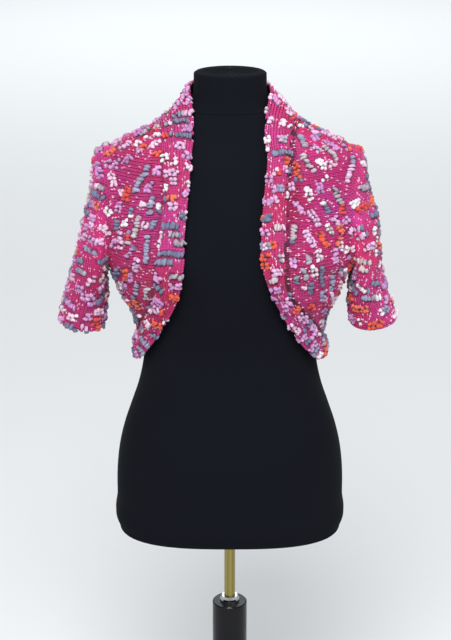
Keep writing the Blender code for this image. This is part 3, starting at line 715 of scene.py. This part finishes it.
def groundFinish():  # the cloth between and behind the stitches, darker than the yarn as painted shade in the gaps, and darker in the wave grooves than on the ridges (painted shade)
    f = Finish("knitGround", {"Roughness": 0.8, "Sheen Weight": 0.2})
    cut = f.add("ShaderNodeUVMap", {"uv_map": "clothMap"})
    ribs, loops = (
        f.add("ShaderNodeTexWave", {"bands_direction": way}, {"Vector": cut, **groundShadeLook[name]})
        for way, name in (("Y", "ribs"), ("X", "loops"))
    )
    height = ribs * 0.6 + loops * 0.4
    f.set(f.shader, {"Base Color": f.mix(height, groundShadeLook["colour"], groundShadeLook["light"])})
    f.bump(height, groundShadeLook["depth"], 0.8)
    return f.material


def jerseyFinish():
    matt = {"Specular IOR Level": 0.03, "Sheen Weight": 0.01, "Sheen Roughness": 0.5}
    f = Finish("blackJersey", {"Roughness": 0.92, **matt})
    weave = f.noise(jerseyLook["weaveScale"], 2.0)
    mixed = weave * 0.5 + f.noise(jerseyLook["dustScale"], 3.0) * 0.3
    f.set(f.shader, {"Base Color": f.mix(mixed, jerseyLook["colour"], jerseyLook["light"])})
    f.bump(weave, jerseyLook["depth"], 0.6)
    return f.material


def metalFinish(name, colour, paler, roughness, grain, metallic):
    f = Finish(name, {"Metallic": metallic, "Specular IOR Level": 0.5 if metallic else 0.16})
    vector = f.add("ShaderNodeMapping", {}, {"Vector": f.place, "Scale": grain})
    worn = f.noise(1.0, 4.0, vector)
    f.set(f.shader, {"Base Color": f.mix(worn, colour, paler)})
    f.set(f.shader, {"Roughness": worn * (roughness * 0.8) + roughness * 0.6})
    return f.material


stitch = {
    "walePitch": 0.0050,  # across the columns of stitches
    "coursePitch": 0.0041,  # along them
    "bandColumns": 9,
    "yarnRadius": 0.00115,
    "width": 0.0042,
    "length": 0.0062,
    "height": 0.0010,
    "wobble": 0.0005,
    "wobbleScale": 420.0,
    "seed": 5,
}
tuft = {
    "share": 0.345,  # of the stitches that are slubbed
    "roughen": 0.0040,
    "roughenScale": 380.0,
    "lift": 0.0021,
    "tilt": 0.38,
    "tightSize": (0.0030, 0.0053, 0.0031),  # half sizes of a lump that fills its stitch
    "looseSize": (0.0030, 0.0037, 0.0032),  # and of one of the two in a fluffy one
    "lobeStep": 0.0019,
    "runStep": 0.0048,
    "clear": 0.0120,  # kept free round each run
    "seamClear": 0.0080,
    "lean": 0.42,
    "cover": 0.0041,  # stitches this near a lump are hidden by it
    "changes": 0.14,  # how often the colour changes within a run
    "seed": 11,
}


def newTree(name, sizes):  # a modifier tree with named size inputs, each read by its name
    tree = bpy.data.node_groups.new(name, "GeometryNodeTree")
    tree.interface.new_socket("Geometry", in_out="INPUT", socket_type="NodeSocketGeometry")
    for label in sizes:
        tree.interface.new_socket(label, in_out="INPUT", socket_type="NodeSocketFloat")
    tree.interface.new_socket("Finish", in_out="INPUT", socket_type="NodeSocketMaterial")
    tree.interface.new_socket("Geometry", in_out="OUTPUT", socket_type="NodeSocketGeometry")
    graph = Graph(tree)
    source = tree.nodes.new("NodeGroupInput")
    given = {socket.name: Wire(graph, socket) for socket in source.outputs if socket.name}
    return tree, graph, given


def attribute(graph, name):
    kind = {"data_type": "FLOAT_VECTOR"}
    node = graph.add("GeometryNodeInputNamedAttribute", kind, {"Name": name}).socket.node
    return Wire(graph, [s for s in node.outputs if s.enabled and s.name == "Attribute"][0])


def finishTree(graph, given, shape, roughness, scale):
    # the shape on every point, made real, stirred a little and finished
    axes = {"Primary Axis": attribute(graph, "outward"), "Secondary Axis": attribute(graph, "wale")}
    settings = {"primary_axis": "Z", "secondary_axis": "Y"}
    values = {
        "Points": given["Geometry"],
        "Instance": shape,
        "Rotation": graph.add("FunctionNodeAxesToRotation", settings, axes),
        "Scale": attribute(graph, "size"),
    }
    placed = graph.add("GeometryNodeInstanceOnPoints", {}, values)
    solid = graph.add("GeometryNodeRealizeInstances", {}, {"Geometry": placed})
    where = graph.add("GeometryNodeInputPosition")
    values = {"Vector": where, "Scale": scale, "Detail": 1.0}
    stir = graph.add("ShaderNodeTexNoise", {}, values, "Color")
    middle = {0: stir, 1: (0.5, 0.5, 0.5)}
    shake = graph.add("ShaderNodeVectorMath", {"operation": "SUBTRACT"}, middle)
    values = {0: shake, "Scale": roughness}
    move = graph.add("ShaderNodeVectorMath", {"operation": "SCALE"}, values)
    solid = graph.add("GeometryNodeSetPosition", {}, {"Geometry": solid, "Offset": move})
    smooth = graph.add("GeometryNodeSetShadeSmooth", {}, {"Geometry": solid})
    values = {"Geometry": smooth, "Material": given["Finish"]}
    done = graph.add("GeometryNodeSetMaterial", {}, values)
    end = graph.tree.nodes.new("NodeGroupOutput")
    graph.tree.links.new(done.socket, end.inputs[0])


def stitchTree():  # one V of yarn on each point
    tree, graph, given = newTree("knitStitches", stitchSizes)
    line = graph.add("GeometryNodeCurvePrimitiveLine")
    line = graph.add("GeometryNodeResampleCurve", {}, {"Curve": line, "Count": 5})
    part = graph.add("GeometryNodeSplineParameter", out="Factor")
    values = {"Geometry": line, "Name": "along", "Value": part}
    settings = {"data_type": "FLOAT", "domain": "POINT"}
    line = graph.add("GeometryNodeStoreNamedAttribute", settings, values)
    across = part * 2.0 - 1.0
    reach = across.math("ABSOLUTE")
    hump = (reach * math.pi).math("SINE")
    bow = across * (0.5 + hump * 0.10)
    sizes = {
        "X": bow * given["Width"],
        "Y": (reach - 0.42) * given["Length"],
        "Z": (hump + 0.25) * given["Height"],
    }
    at = graph.add("ShaderNodeCombineXYZ", {}, sizes)
    line = graph.add("GeometryNodeSetPosition", {}, {"Geometry": line, "Position": at})
    ring = graph.add("GeometryNodeCurvePrimitiveCircle", {}, {"Resolution": 3, "Radius": 1.0})
    girth = given["Yarn Radius"] * (0.55 + hump * 0.45)
    values = {"Curve": line, "Profile Curve": ring, "Scale": girth, "Fill Caps": True}
    yarn = graph.add("GeometryNodeCurveToMesh", {}, values)
    finishTree(graph, given, yarn, given["Wobble"], stitch["wobbleScale"])
    return tree


def tuftTree():  # one soft lump on each point
    tree, graph, given = newTree("woolTufts", ["Roughen"])
    ball = graph.add("GeometryNodeMeshIcoSphere", {}, {"Radius": 1.0, "Subdivisions": 2})
    finishTree(graph, given, ball, given["Roughen"], tuft["roughenScale"])
    return tree


def pointCloud(name, sites):  # bare vertices that carry each thing's frame and number
    mesh = bpy.data.meshes.new(name)
    mesh.from_pydata(sites["at"].tolist(), [], [])
    for key in ("outward", "wale", "size"):
        layer = mesh.attributes.new(key, "FLOAT_VECTOR", "POINT")
        layer.data.foreach_set("vector", sites[key].astype(np.float32).ravel())
    layer = mesh.attributes.new("number", "FLOAT", "POINT")
    layer.data.foreach_set("value", np.arange(len(sites["at"]), dtype=np.float32))
    made = bpy.data.objects.new(name, mesh)
    bpy.context.scene.collection.objects.link(made)
    return made


def readValues(mesh, name):  # one number for each vertex, 0 where there is none
    values = np.zeros(len(mesh.vertices), np.float32)
    if name in mesh.attributes:
        mesh.attributes[name].data.foreach_get("value", values)
    return values


def grown(name, sites, tree, sizes, material, colourOf):
    # the tree's own result as a plain mesh, coloured strand by strand
    made = pointCloud(name, sites)
    modifier = made.modifiers.new(name, "NODES")
    modifier.node_group = tree
    keys = {s.name: s.identifier for s in tree.interface.items_tree if s.in_out == "INPUT"}
    for label, value in sizes.items():
        modifier[keys[label]] = value
    modifier[keys["Finish"]] = material
    evaluated = made.evaluated_get(bpy.context.evaluated_depsgraph_get())
    mesh = bpy.data.meshes.new_from_object(evaluated)
    made.modifiers.remove(modifier)
    made.data = mesh
    mesh.name = name
    owner = np.rint(readValues(mesh, "number")).astype(int)
    along = readValues(mesh, "along")
    at = np.empty(len(mesh.vertices) * 3, np.float32)
    mesh.vertices.foreach_get("co", at)
    at = at.reshape(-1, 3)
    colour = np.ones((len(owner), 4), np.float32)
    colour[:, :3] = colourOf(at, owner, along)
    layer = mesh.attributes.new("yarnColour", "FLOAT_COLOR", "POINT")
    layer.data.foreach_set("color", colour.ravel())
    across = np.cross(sites["wale"], sites["outward"])[owner]
    off = at - sites["at"][owner]
    steps = [(off * sites["wale"][owner]).sum(1), (off * across).sum(1)]
    setMap(mesh, sites["place"][owner] + np.stack(steps, -1))
    for spare in ("number", "along", "outward", "wale", "size"):
        if spare in mesh.attributes:
            mesh.attributes.remove(mesh.attributes[spare])
    return made


def emptySites():
    return {key: [] for key in ("at", "outward", "wale", "size", "place", "piece")}


def keep(sites, piece, walked, size, flip=1.0, mask=None, place=(0, 0)):
    here, outward, wale, ii, jj = walked
    mask = np.ones(len(here), bool) if mask is None else mask
    run = np.arange(len(here)) * stitch["coursePitch"]
    sites["at"].append(here[mask])
    sites["outward"].append(outward[mask])
    sites["wale"].append(wale[mask] * flip)
    sites["size"].append(np.broadcast_to(size, (len(here), 3))[mask])
    sites["place"].append((np.stack([run, 0 * run], -1) + place)[mask])
    sites["piece"].append(np.broadcast_to(piece, len(here))[mask])


def bodyLattice():
    turn, height = np.arange(-180, 181.0), np.arange(0.860, 1.3201, 0.002)
    turnGrid, heightGrid = np.meshgrid(turn, height, indexing="ij")
    middle = sectionPoints(shrugSections, turnGrid, heightGrid)
    normal = sectionNormals(shrugSections, turnGrid, heightGrid)
    return turn, height, middle, Lattice(folded(middle + normal * cloth["above"]), normal)


def bodyPieces(turn, height):  # which panel each place on the body belongs to
    piece = np.full(len(turn), "", dtype=object)
    middle = (armholeSize["top"] + armholeSize["bottom"]) / 2
    for side, front, stations in ((-1, "front_left", bandLeft), (1, "front_right", bandRight)):
        seam = bandLine(stations, "seam", np.arange(0, 11.01, 0.05), 1)[::-1]
        inside = np.abs(turn) > np.interp(height, seam[:, 1], seam[:, 0]) + 0.4
        inside &= (turn * side > 0) & (np.abs(turn) <= 90) & (height > seam[0, 1] + 0.001)
        piece[inside & (height < seam[-1, 1])] = front
    inside = (np.abs(turn) > 90) & (height > backHem["seamHeight"] + 0.001)
    piece[inside & (height < backNeck["seamHeight"] - 0.001)] = "back"
    reach = np.where(np.abs(turn) < 90, armholeSize["frontReach"], armholeSize["backReach"])
    rise = (height - middle) / (armholeSize["top"] - middle)
    piece[((np.abs(turn) - 90) / reach) ** 2 + rise**2 < 1.0] = ""
    return piece


def layBody(sites):  # columns run level round the body, spaced along its own height
    turn, height, middle, lattice = bodyLattice()
    climb = np.linalg.norm(np.diff(middle, axis=1), axis=2)
    climb = np.concatenate([0 * climb[:, :1], np.cumsum(climb, axis=1)], axis=1)
    climb -= climb[:, [120]]
    for k in range(-60, 62):
        level = k * stitch["walePitch"]
        j = np.array([np.interp(level, row, np.arange(len(height))) for row in climb])
        walked = lattice.walk(np.arange(361.0), j, stitch["coursePitch"], 0.5)
        if walked is None:
            continue
        turns, heights = walked[3] - 180, 0.860 + walked[4] * 0.002
        piece = bodyPieces(turns, heights)
        real = (walked[4] > 0.5) & (walked[4] < len(height) - 1.5)
        for name in ("back", "front_left", "front_right"):
            mask = (piece == name) & real
            if mask.any():
                flip = -1.0 if name == "back" else 1.0
                keep(sites, name, walked, (1, 1, 1), flip, mask, (0, level))


def layTube(sites, piece, lattice, upward):  # columns run along a sleeve or cuff
    points = lattice.points
    columns = points.shape[1] - 1
    for order in (np.arange(columns // 2 + 1), columns - np.arange(columns // 2 + 1)):
        half = points[:, order]
        run = np.linalg.norm(np.diff(half, axis=1), axis=2)
        run = np.concatenate([0 * run[:, :1], np.cumsum(run, axis=1)], axis=1)
        for k in range(60):
            level = (k + 0.5) * stitch["walePitch"]
            valid = run[:, -1] > level - 0.25 * stitch["walePitch"]
            count = len(points) if valid.all() else int(np.argmin(valid))
            if count < 4:
                break
            j = np.array([np.interp(level, run[r], order) for r in range(count)])
            walked = lattice.walk(np.arange(float(count)), j, stitch["coursePitch"], 0.35)
            if walked is not None:
                sign = 1 if order[1] == 1 else -1
                keep(sites, piece, walked, (1, 1, 1), upward, None, (0, sign * level))


def layBand(sites, piece, lattice, columns):  # columns run along the band's length
    across = lattice.points.shape[1] - 1
    spread = np.linalg.norm(np.diff(lattice.points, axis=1), axis=2).sum(axis=1) / columns
    for k in range(columns):
        j = np.full(len(lattice.points), (k + 0.5) / columns * across)
        walked = lattice.walk(np.arange(float(len(j))), j, stitch["coursePitch"], 0.5)
        wide = np.interp(walked[3], np.arange(len(j)), spread) / stitch["walePitch"]
        size = np.stack([wide, 0 * wide + 1.05, 0 * wide + 1.1], -1)
        keep(sites, piece, walked, size, 1.0, None, (0, k * stitch["walePitch"]))


def layEdge(sites, piece, lattice, last, around=False):  # a rolled row on a free edge
    points = lattice.points
    if around:
        i, j = np.full(points.shape[1], points.shape[0] - 1.0), np.arange(float(points.shape[1]))
    else:
        i, j = np.arange(float(points.shape[0])), np.full(points.shape[0], points.shape[1] - 1.0)
    walked = lattice.walk(i, j, stitch["coursePitch"], 0.5)
    here, outward, wale, ii, jj = walked
    inner = lattice.read(points, ii - (2 if around else 0), jj - (0 if around else 1.5))
    out = unit(here - inner)
    for lean, step in ((0.9, 0.0006), (3.0, 0.0003)):
        turned = unit(outward + out * lean)
        moved = here + out * step - outward * 0.0006 * lean * 0.5
        keep(sites, piece, (moved, turned, wale, ii, jj), (0.9, 1.0, 1.2), 1.0, None, (0, last))


def crownedLattice(grid):
    middle = sectionPoints(shrugSections, grid[..., 0], grid[..., 1])
    normal = sectionNormals(shrugSections, grid[..., 0], grid[..., 1])
    lift = cloth["crown"] * np.sin(np.pi * np.linspace(0, 1, grid.shape[1]))[None, :, None]
    return Lattice(folded(middle + normal * (lift + cloth["bandAbove"])), normal)


def tubeLattice(points, fold=True):
    normal = gridNormals(points)
    outer = points + normal * cloth["above"]
    return Lattice(folded(outer) if fold else outer, normal)


def joined(sites):
    return {key: np.concatenate(value) for key, value in sites.items()}


def light(*colours):  # screen colours as linear light
    c = np.array(colours, float) / 255
    return np.where(c <= 0.04045, c / 12.92, ((c + 0.055) / 1.055) ** 2.4)


# the yarn's own tones, then a dark one used only as painted shade
yarnColours = light((212, 30, 118), (210, 54, 158), (206, 22, 78), (64, 2, 30))
# pale glints near the crown of some yarn legs: painted highlight
glintColour = light((255, 196, 226))[0]
glintShare = 0.10
tuftKinds = {  # colour, how often, and the fewest and most lumps in a run
    "slate": (light((134, 138, 172), (156, 154, 186), (114, 120, 154)), 0.30, 4, 9),
    "taupe": (light((198, 182, 192), (178, 166, 182), (210, 190, 192)), 0.11, 4, 8),
    "lilac": (light((222, 158, 214), (204, 140, 202), (234, 184, 224)), 0.27, 3, 5),
    "petal": (light((250, 226, 240), (252, 238, 246), (246, 202, 228)), 0.18, 2, 4),
    "coral": (light((240, 88, 58), (232, 68, 66), (244, 112, 84)), 0.13, 3, 6),
}


def drift(at, scale, shift):  # a smooth wander over space, about 0 to 1
    x, y, z = (at * scale + shift).T
    a = np.sin(x + 1.7 * np.sin(y * 0.8)) * np.sin(z * 1.1 + np.cos(x * 0.7))
    b = np.sin(z * 2.3 + y) * np.cos(x * 1.9 - y)
    return np.clip(0.5 + 0.35 * a + 0.25 * b, 0, 1)


def yarnColour(sites, seed):
    rng = np.random.default_rng(seed)
    count = len(sites["at"])
    glint = rng.random((count, 2)) < glintShare
    shade = 0.86 + 0.26 * rng.random(count)
    apexShade = rng.random(count) * 0.25

    def colourOf(at, owner, along):
        violet = drift(at, 24.0, 3.1)[:, None] * 0.8
        red = np.clip(drift(at, 19.0, 8.4) - 0.35, 0, 1)[:, None] * 1.1
        c = yarnColours[0] * (1 - violet) + yarnColours[1] * violet
        c = c * (1 - red) + yarnColours[2] * red
        # painted shade: a random share darker at each V's root
        root = apexShade[owner] * (np.abs(along - 0.5) < 0.1)
        deep = np.clip(root + sites["deep"][owner] * 1.1, 0, 1)[:, None]
        ends = 0.50 + 0.50 * np.sin(np.pi * np.abs(2 * along - 1))  # painted shade where the legs dip at both ends
        c = (c * (1 - deep) + yarnColours[3] * deep) * (shade[owner] * ends)[:, None]
        # painted highlight: a pale glint near the crown of some legs
        bright = glint[owner, (along > 0.5).astype(int)]
        bright &= np.abs(np.abs(along - 0.5) - 0.25) < 0.1
        return np.where(bright[:, None], glintColour, c)

    return colourOf


def chooseTufts(sites):
    rng = np.random.default_rng(tuft["seed"])
    tree = KDTree(len(sites["at"]))
    for i, p in enumerate(sites["at"].tolist()):
        tree.insert(p, i)
    tree.balance()
    free = np.ones(len(sites["at"]), bool)
    edged = np.array([name.startswith("band") for name in sites["piece"]])
    deep = sites["deep"] = np.zeros(len(free))
    for i in np.flatnonzero(edged):  # the seam beside each band stays bare, and its stitches get painted shade for the crease there, stronger on the right
        for _, near, gap in tree.find_range(sites["at"][i], tuft["seamClear"]):
            free[near] &= edged[near]
            if not edged[near]:
                deep[near] = max(deep[near], 1 - (gap / tuft["seamClear"]) ** 3)
                deep[i] = max(deep[i], 0.8 * (gap < 0.0055))
    deep *= np.where(sites["at"][:, 0] > 0, 1.0, 0.6)
    used = np.zeros(len(sites["at"]), bool)
    thin = drift(sites["at"], 62.0, 5.2)
    names = list(tuftKinds)
    odds = np.array([tuftKinds[n][1] for n in names])
    lumps = {**emptySites(), "colour": []}
    across = np.cross(sites["wale"], sites["outward"])
    for start in rng.permutation(len(sites["at"])):
        if used.mean() > tuft["share"]:
            break
        if not free[start] or thin[start] > 0.48 and rng.random() < 0.85:
            continue
        name = rng.choice(names, p=odds / odds.sum())
        colours, _, fewest, most = tuftKinds[name]
        here, way = start, across[start] * rng.choice((-1, 1))
        lean = np.zeros(3)
        if sites["piece"][start].startswith("front"):  # runs there lean out as they fall
            lean[0] = -tuft["lean"] * np.sign(sites["at"][start, 0] * way[2])
        way = way + lean
        run = []
        for _ in range(rng.integers(fewest, most + 1)):
            run.append(here)
            aim = sites["at"][here] + way * tuft["runStep"]
            _, after, gap = tree.find(aim)
            if gap > 0.0045 or not free[after] or after in run:
                break
            way = unit(across[after] * np.sign((across[after] * way).sum()) + lean + way * 0.5)
            here = after
        if len(run) < fewest - 1:
            free[start] = False
            continue
        base = colours[rng.integers(len(colours))]
        for n, i in enumerate(run):
            if n and rng.random() < tuft["changes"]:
                other = tuftKinds[rng.choice(names, p=odds / odds.sum())][0]
                base = other[rng.integers(len(other))]
            loose = name in ("petal", "lilac", "coral")
            for lobe in (-1, 1) if loose else (0,):
                spin = rng.normal(0.5 * lobe, 0.5 if loose else 0.2)
                wale = unit(sites["wale"][i] * math.cos(spin) + across[i] * math.sin(spin))
                tilt = sites["outward"][i] + rng.normal(0, tuft["tilt"], 3)
                tilt = unit(tilt + sites["wale"][i] * lobe * 0.45)
                size = np.array(tuft["looseSize"] if loose else tuft["tightSize"])
                slid = sites["wale"][i] * lobe * tuft["lobeStep"]
                slid = slid + across[i] * rng.normal(0, 0.0011) * abs(lobe)
                lift = tilt * tuft["lift"] * rng.uniform(0.6, 1.4)
                lumps["at"].append(sites["at"][i] + slid + lift)
                lumps["outward"].append(tilt)
                lumps["wale"].append(wale)
                lumps["size"].append(size * rng.uniform(0.72, 1.25, 3))
                lumps["place"].append(sites["place"][i])
                lumps["piece"].append(sites["piece"][i])
                lumps["colour"].append(base * rng.uniform(0.82, 1.15))
            for _, near, _ in tree.find_range(sites["at"][i], tuft["clear"]):
                free[near] = False
            for _, near, _ in tree.find_range(sites["at"][i], tuft["cover"]):
                used[near] = True
    return {key: np.array(value) for key, value in lumps.items()}, used


def lumpColour(lumps):
    def colourOf(at, owner, along):
        # painted shade: each lump darker low down, mixed towards the shade colour underneath
        off = ((at - lumps["at"][owner]) * lumps["outward"][owner]).sum(1) / lumps["size"][owner, 2]
        rise = np.clip(0.55 + 0.55 * off, 0, 1)[:, None]
        shade = 0.80 + 0.36 * drift(at, 900.0, 2.0)[:, None]
        underShade = yarnColours[3] * 0.5 * (1 - rise)
        return lumps["colour"][owner] * shade * (0.25 + 0.75 * rise) + underShade

    return colourOf


formCover = {
    "around": 104,
    "rows": 110,
    "neckSeam": 1.2700,
    "seamRise": 0.0014,
    "topRise": 0.0016,
    "pleats": 22,
    "pleatRise": 0.0011,
}


def makeForm(material):
    heights = formSections["height"]
    share = np.linspace(0, 1, formCover["rows"])
    knots = np.unique(np.concatenate([
        heights[0] + (heights[-1] - heights[0]) * share,
        formCover["neckSeam"] + np.linspace(-0.004, 0.004, 13),
        np.linspace(heights[0], heights[0] + 0.02, 12),
        np.linspace(heights[-1] - 0.006, heights[-1], 8),
    ]))
    turn = np.linspace(-180, 180, formCover["around"] + 1)[:-1]
    turnGrid, heightGrid = np.meshgrid(turn, knots)
    rings = sectionPoints(formSections, turnGrid, heightGrid)
    inside = np.clip(heightGrid, heights[0] + 0.004, heights[-1] - 0.004)
    outward = sectionNormals(formSections, turnGrid, inside)
    seam = np.exp(-(((heightGrid - formCover["neckSeam"]) / 0.0011) ** 2))
    side = np.exp(-(((np.abs(turnGrid) - 90) / 0.5) ** 2)) * smoothStep((1.2 - heightGrid) / 0.02)
    rings = rings + outward * (formCover["seamRise"] * (seam + 0.5 * side))[..., None]
    angle = np.radians(turn)
    foot, rim = rings[0], rings[-1]
    top, bottom = [], []
    for k in (0.94, 0.82, 0.66, 0.48, 0.30, 0.14):  # gathered in to the knot
        ring = rim * k
        pleat = k * (1 - k) * 4 * np.cos(formCover["pleats"] * angle + 3 * k)
        ring[:, 2] = heights[-1] + formCover["topRise"] * (1 - k * k)
        ring[:, 2] += formCover["pleatRise"] * pleat
        top.append(ring)
    for k in (0.25, 0.50, 0.75, 0.93):
        ring = foot * k
        ring[:, 2] = heights[0]
        bottom.append(ring)
    points = np.concatenate([bottom, rings, top])
    rows, columns = points.shape[:2]
    faces = []
    for low in range(0, (rows - 1) * columns, columns):
        for j in range(columns):
            k = (j + 1) % columns
            faces.append((low + j, low + k, low + columns + k, low + columns + j))
    faces.append(tuple(range(columns))[::-1])
    faces.append(tuple(range((rows - 1) * columns, rows * columns)))
    made = makeMesh("formCover", points.reshape(-1, 3), faces, material)
    turnedOut(made.data)
    return made


ground, yarn, wool = groundFinish(), yarnFinish(), tuftFinish()
sleeves = {
    "left": sleeveGrid(-1, sleeveLeft, 64, 46),
    "right": sleeveGrid(1, sleeveRight, 64, 46),
}
cuffs = {
    "left": cuffGrid(-1, cuffLeft, sleeveLeft, 64, 16),
    "right": cuffGrid(1, cuffRight, sleeveRight, 64, 16),
}
shells = {
    "back": bodyShell("knitBack", backGrid(), ground),
    "front_left": bodyShell("knitFrontLeft", frontGrid(-1, bandLeft), ground),
    "front_right": bodyShell("knitFrontRight", frontGrid(1, bandRight), ground),
    "sleeve_left": tubeShell("knitSleeveLeft", sleeves["left"], ground),
    "sleeve_right": tubeShell("knitSleeveRight", sleeves["right"], ground),
    "cuff_left": tubeShell("knitCuffLeft", cuffs["left"], ground, False),
    "cuff_right": tubeShell("knitCuffRight", cuffs["right"], ground, False),
}


collar, hem = backBandGrid(backNeck, 0), backBandGrid(backHem, -1)
for piece, name, grid in (
    ("band_front_left", "bandFrontLeft", frontBandGrid(-1, bandLeft, bandPlaces(bandLeft))),
    ("band_front_right", "bandFrontRight", frontBandGrid(1, bandRight, bandPlaces(bandRight))),
    ("band_collar", "bandCollar", collar),
    ("band_hem", "bandHem", hem),
):
    shells[piece] = bodyShell(name, grid, ground, cloth["crown"], cloth["bandAbove"])
print("shells made")

sites = emptySites()
layBody(sites)
for side, upward in (("left", -1.0), ("right", 1.0)):
    layTube(sites, "sleeve_" + side, tubeLattice(sleeves[side]), upward)
    lattice = tubeLattice(cuffs[side], False)
    layTube(sites, "cuff_" + side, lattice, upward)
    layEdge(sites, "cuff_" + side, lattice, 0.06, True)
dense = np.arange(0, len(bandLeft["seamTurn"]) - 0.999, 0.05)
for piece, grid in (
    ("band_front_left", frontBandGrid(-1, bandLeft, dense)),
    ("band_front_right", frontBandGrid(1, bandRight, dense)),
    ("band_collar", collar),
    ("band_hem", hem),
):
    lattice = crownedLattice(grid)
    layBand(sites, piece, lattice, stitch["bandColumns"])
    layEdge(sites, piece, lattice, 0.05)
sites = joined(sites)
lumps, slubbed = chooseTufts(sites)
print(len(sites["at"]), "stitches,", len(lumps["at"]), "lumps")

stitchSizes = {
    "Yarn Radius": stitch["yarnRadius"],
    "Width": stitch["width"],
    "Length": stitch["length"],
    "Height": stitch["height"],
    "Wobble": stitch["wobble"],
}
stitches, tufts = stitchTree(), tuftTree()
flats = {  # each piece's cut, its area where it isn't a rectangle, and what holds it
    "back": ((0.46, 0.38), 0.140, "draped", "form_torso"),
    "front_left": ((0.13, 0.34), 0.032, "draped", "form_torso"),
    "front_right": ((0.15, 0.34), 0.038, "draped", "form_torso"),
    "sleeve_left": ((0.37, 0.24), 0.051, "hung", "back"),
    "sleeve_right": ((0.37, 0.24), 0.051, "hung", "back"),
    "cuff_left": ((0.27, 0.045), None, "hung", "sleeve_left"),
    "cuff_right": ((0.27, 0.045), None, "hung", "sleeve_right"),
    "band_front_left": ((0.045, 0.50), None, "draped", "form_torso"),
    "band_front_right": ((0.045, 0.50), None, "draped", "form_torso"),
    "band_collar": ((0.23, 0.062), None, "draped", "form_torso"),
    "band_hem": ((0.40, 0.037), None, "hung", "back"),
}
pieces = {}
for order, (piece, shell) in enumerate(shells.items()):
    mine = (sites["piece"] == piece) & ~slubbed
    part = {key: value[mine] for key, value in sites.items()}
    colourOf = yarnColour(part, order + stitch["seed"])
    knit = grown(shell.name + "Stitches", part, stitches, stitchSizes, yarn, colourOf)
    own = lumps["piece"] == piece
    part = {key: value[own] for key, value in lumps.items()}
    rough = {"Roughen": tuft["roughen"]}
    slubs = grown(shell.name + "Slubs", part, tufts, rough, wool, lumpColour(part))
    pieces[piece] = (shell, knit, slubs)
    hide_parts(piece)
    for each in (shell, knit, slubs):
        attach(each, "root")
    print(piece, [len(o.data.polygons) for o in pieces[piece]])

for piece, (shell, knit, slubs) in pieces.items():
    flat, area, held, on = flats[piece]
    rest = pieces[on][0].name if on in pieces else "formCover"

jersey = jerseyFinish()
form = makeForm(jersey)
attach(form, "root")
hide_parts("form_torso")
standLook = {  # the darker and lighter colour, the roughness, the grain and how metallic
    "glossBlack": ((0.003, 0.003, 0.004, 1), (0.006, 0.006, 0.007, 1), 0.30, (60, 60, 60), 0.0),
    "blackSteel": ((0.012, 0.012, 0.013, 1), (0.03, 0.03, 0.03, 1), 0.40, (60, 60, 60), 0.6),
    "yellowZinc": ((0.035, 0.030, 0.008, 1), (0.44, 0.36, 0.12, 1), 0.26, (260, 260, 2), 1.0),
    "chromeRing": ((0.34, 0.34, 0.36, 1), (0.60, 0.60, 0.62, 1), 0.12, (60, 60, 60), 1.0),
}
gloss, steel, zinc, chrome = (metalFinish(name, *look) for name, look in standLook.items())
for node, material in {
    "form_knot": jersey, "form_lug": steel, "stand_rod": zinc,
    "stand_collar": chrome, "stand_column": gloss, "stand_foot": gloss,
}.items():
    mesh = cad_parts[node].data
    mesh.materials.clear()
    mesh.materials.append(material)
print("form and stand finished")


studio = {
    "floor": (0.70, 0.705, 0.71, 1),
    "floorHalf": 14.0,
    "air": (0.92, 0.95, 0.97, 1),
    "airStrength": 0.74,
    "lamps": {  # place, what it faces, size, power and colour
        "key": ((-0.20, -2.5, 3.7), (0, 0, 1.05), 1.8, 165, (1, 1, 1)),
        "fill": ((2.6, -2.6, 2.0), (0, 0, 1.0), 2.4, 18, (1, 1, 1)),
        "far": ((0.0, 9.5, 5.5), (0, 10.0, 0), 7.0, 300, (0.93, 0.98, 1)),
    },
    "camera": {"place": (-0.007, -2.360, 1.731), "tilt": 71.3, "lens": 89.27, "sensor": 36.0},
}


def areaLight(name, place, target, size, power, colour):
    lamp = bpy.data.lights.new(name, "AREA")
    lamp.shape, lamp.size, lamp.energy, lamp.color = "DISK", size, power, colour
    made = bpy.data.objects.new(name, lamp)
    made.location = place
    made.rotation_euler = (Vector(target) - Vector(place)).to_track_quat("-Z", "Y").to_euler()
    bpy.context.scene.collection.objects.link(made)


def makeStudio():
    f = Finish("paleFloor", {"Base Color": studio["floor"], "Roughness": 0.9})
    s = studio["floorHalf"]
    corners = [(-s, -s, 0), (s, -s, 0), (s, s, 0), (-s, s, 0)]
    floor = makeMesh("floor", corners, [(0, 1, 2, 3)], f.material, False)
    floor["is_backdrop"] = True
    world = bpy.data.worlds.new("studioAir")
    world.use_nodes = True
    air = world.node_tree.nodes["Background"]
    air.inputs["Color"].default_value = studio["air"]
    air.inputs["Strength"].default_value = studio["airStrength"]
    bpy.context.scene.world = world
    bpy.context.scene.view_settings.view_transform = "Standard"
    for name, lamp in studio["lamps"].items():
        areaLight(name, *lamp)
    view = studio["camera"]
    lens = bpy.data.cameras.new("camera")
    lens.lens, lens.sensor_width = view["lens"], view["sensor"]
    camera = bpy.data.objects.new("camera", lens)
    camera.location = view["place"]
    camera.rotation_euler = (math.radians(view["tilt"]), 0, 0)
    bpy.context.scene.collection.objects.link(camera)
    bpy.context.scene.camera = camera


makeStudio()
boxes = {"cad": cadBox, "visual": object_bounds()}
{name: [list(map(float, c)) for c in box] for name, box in boxes.items()}
print("studio set")
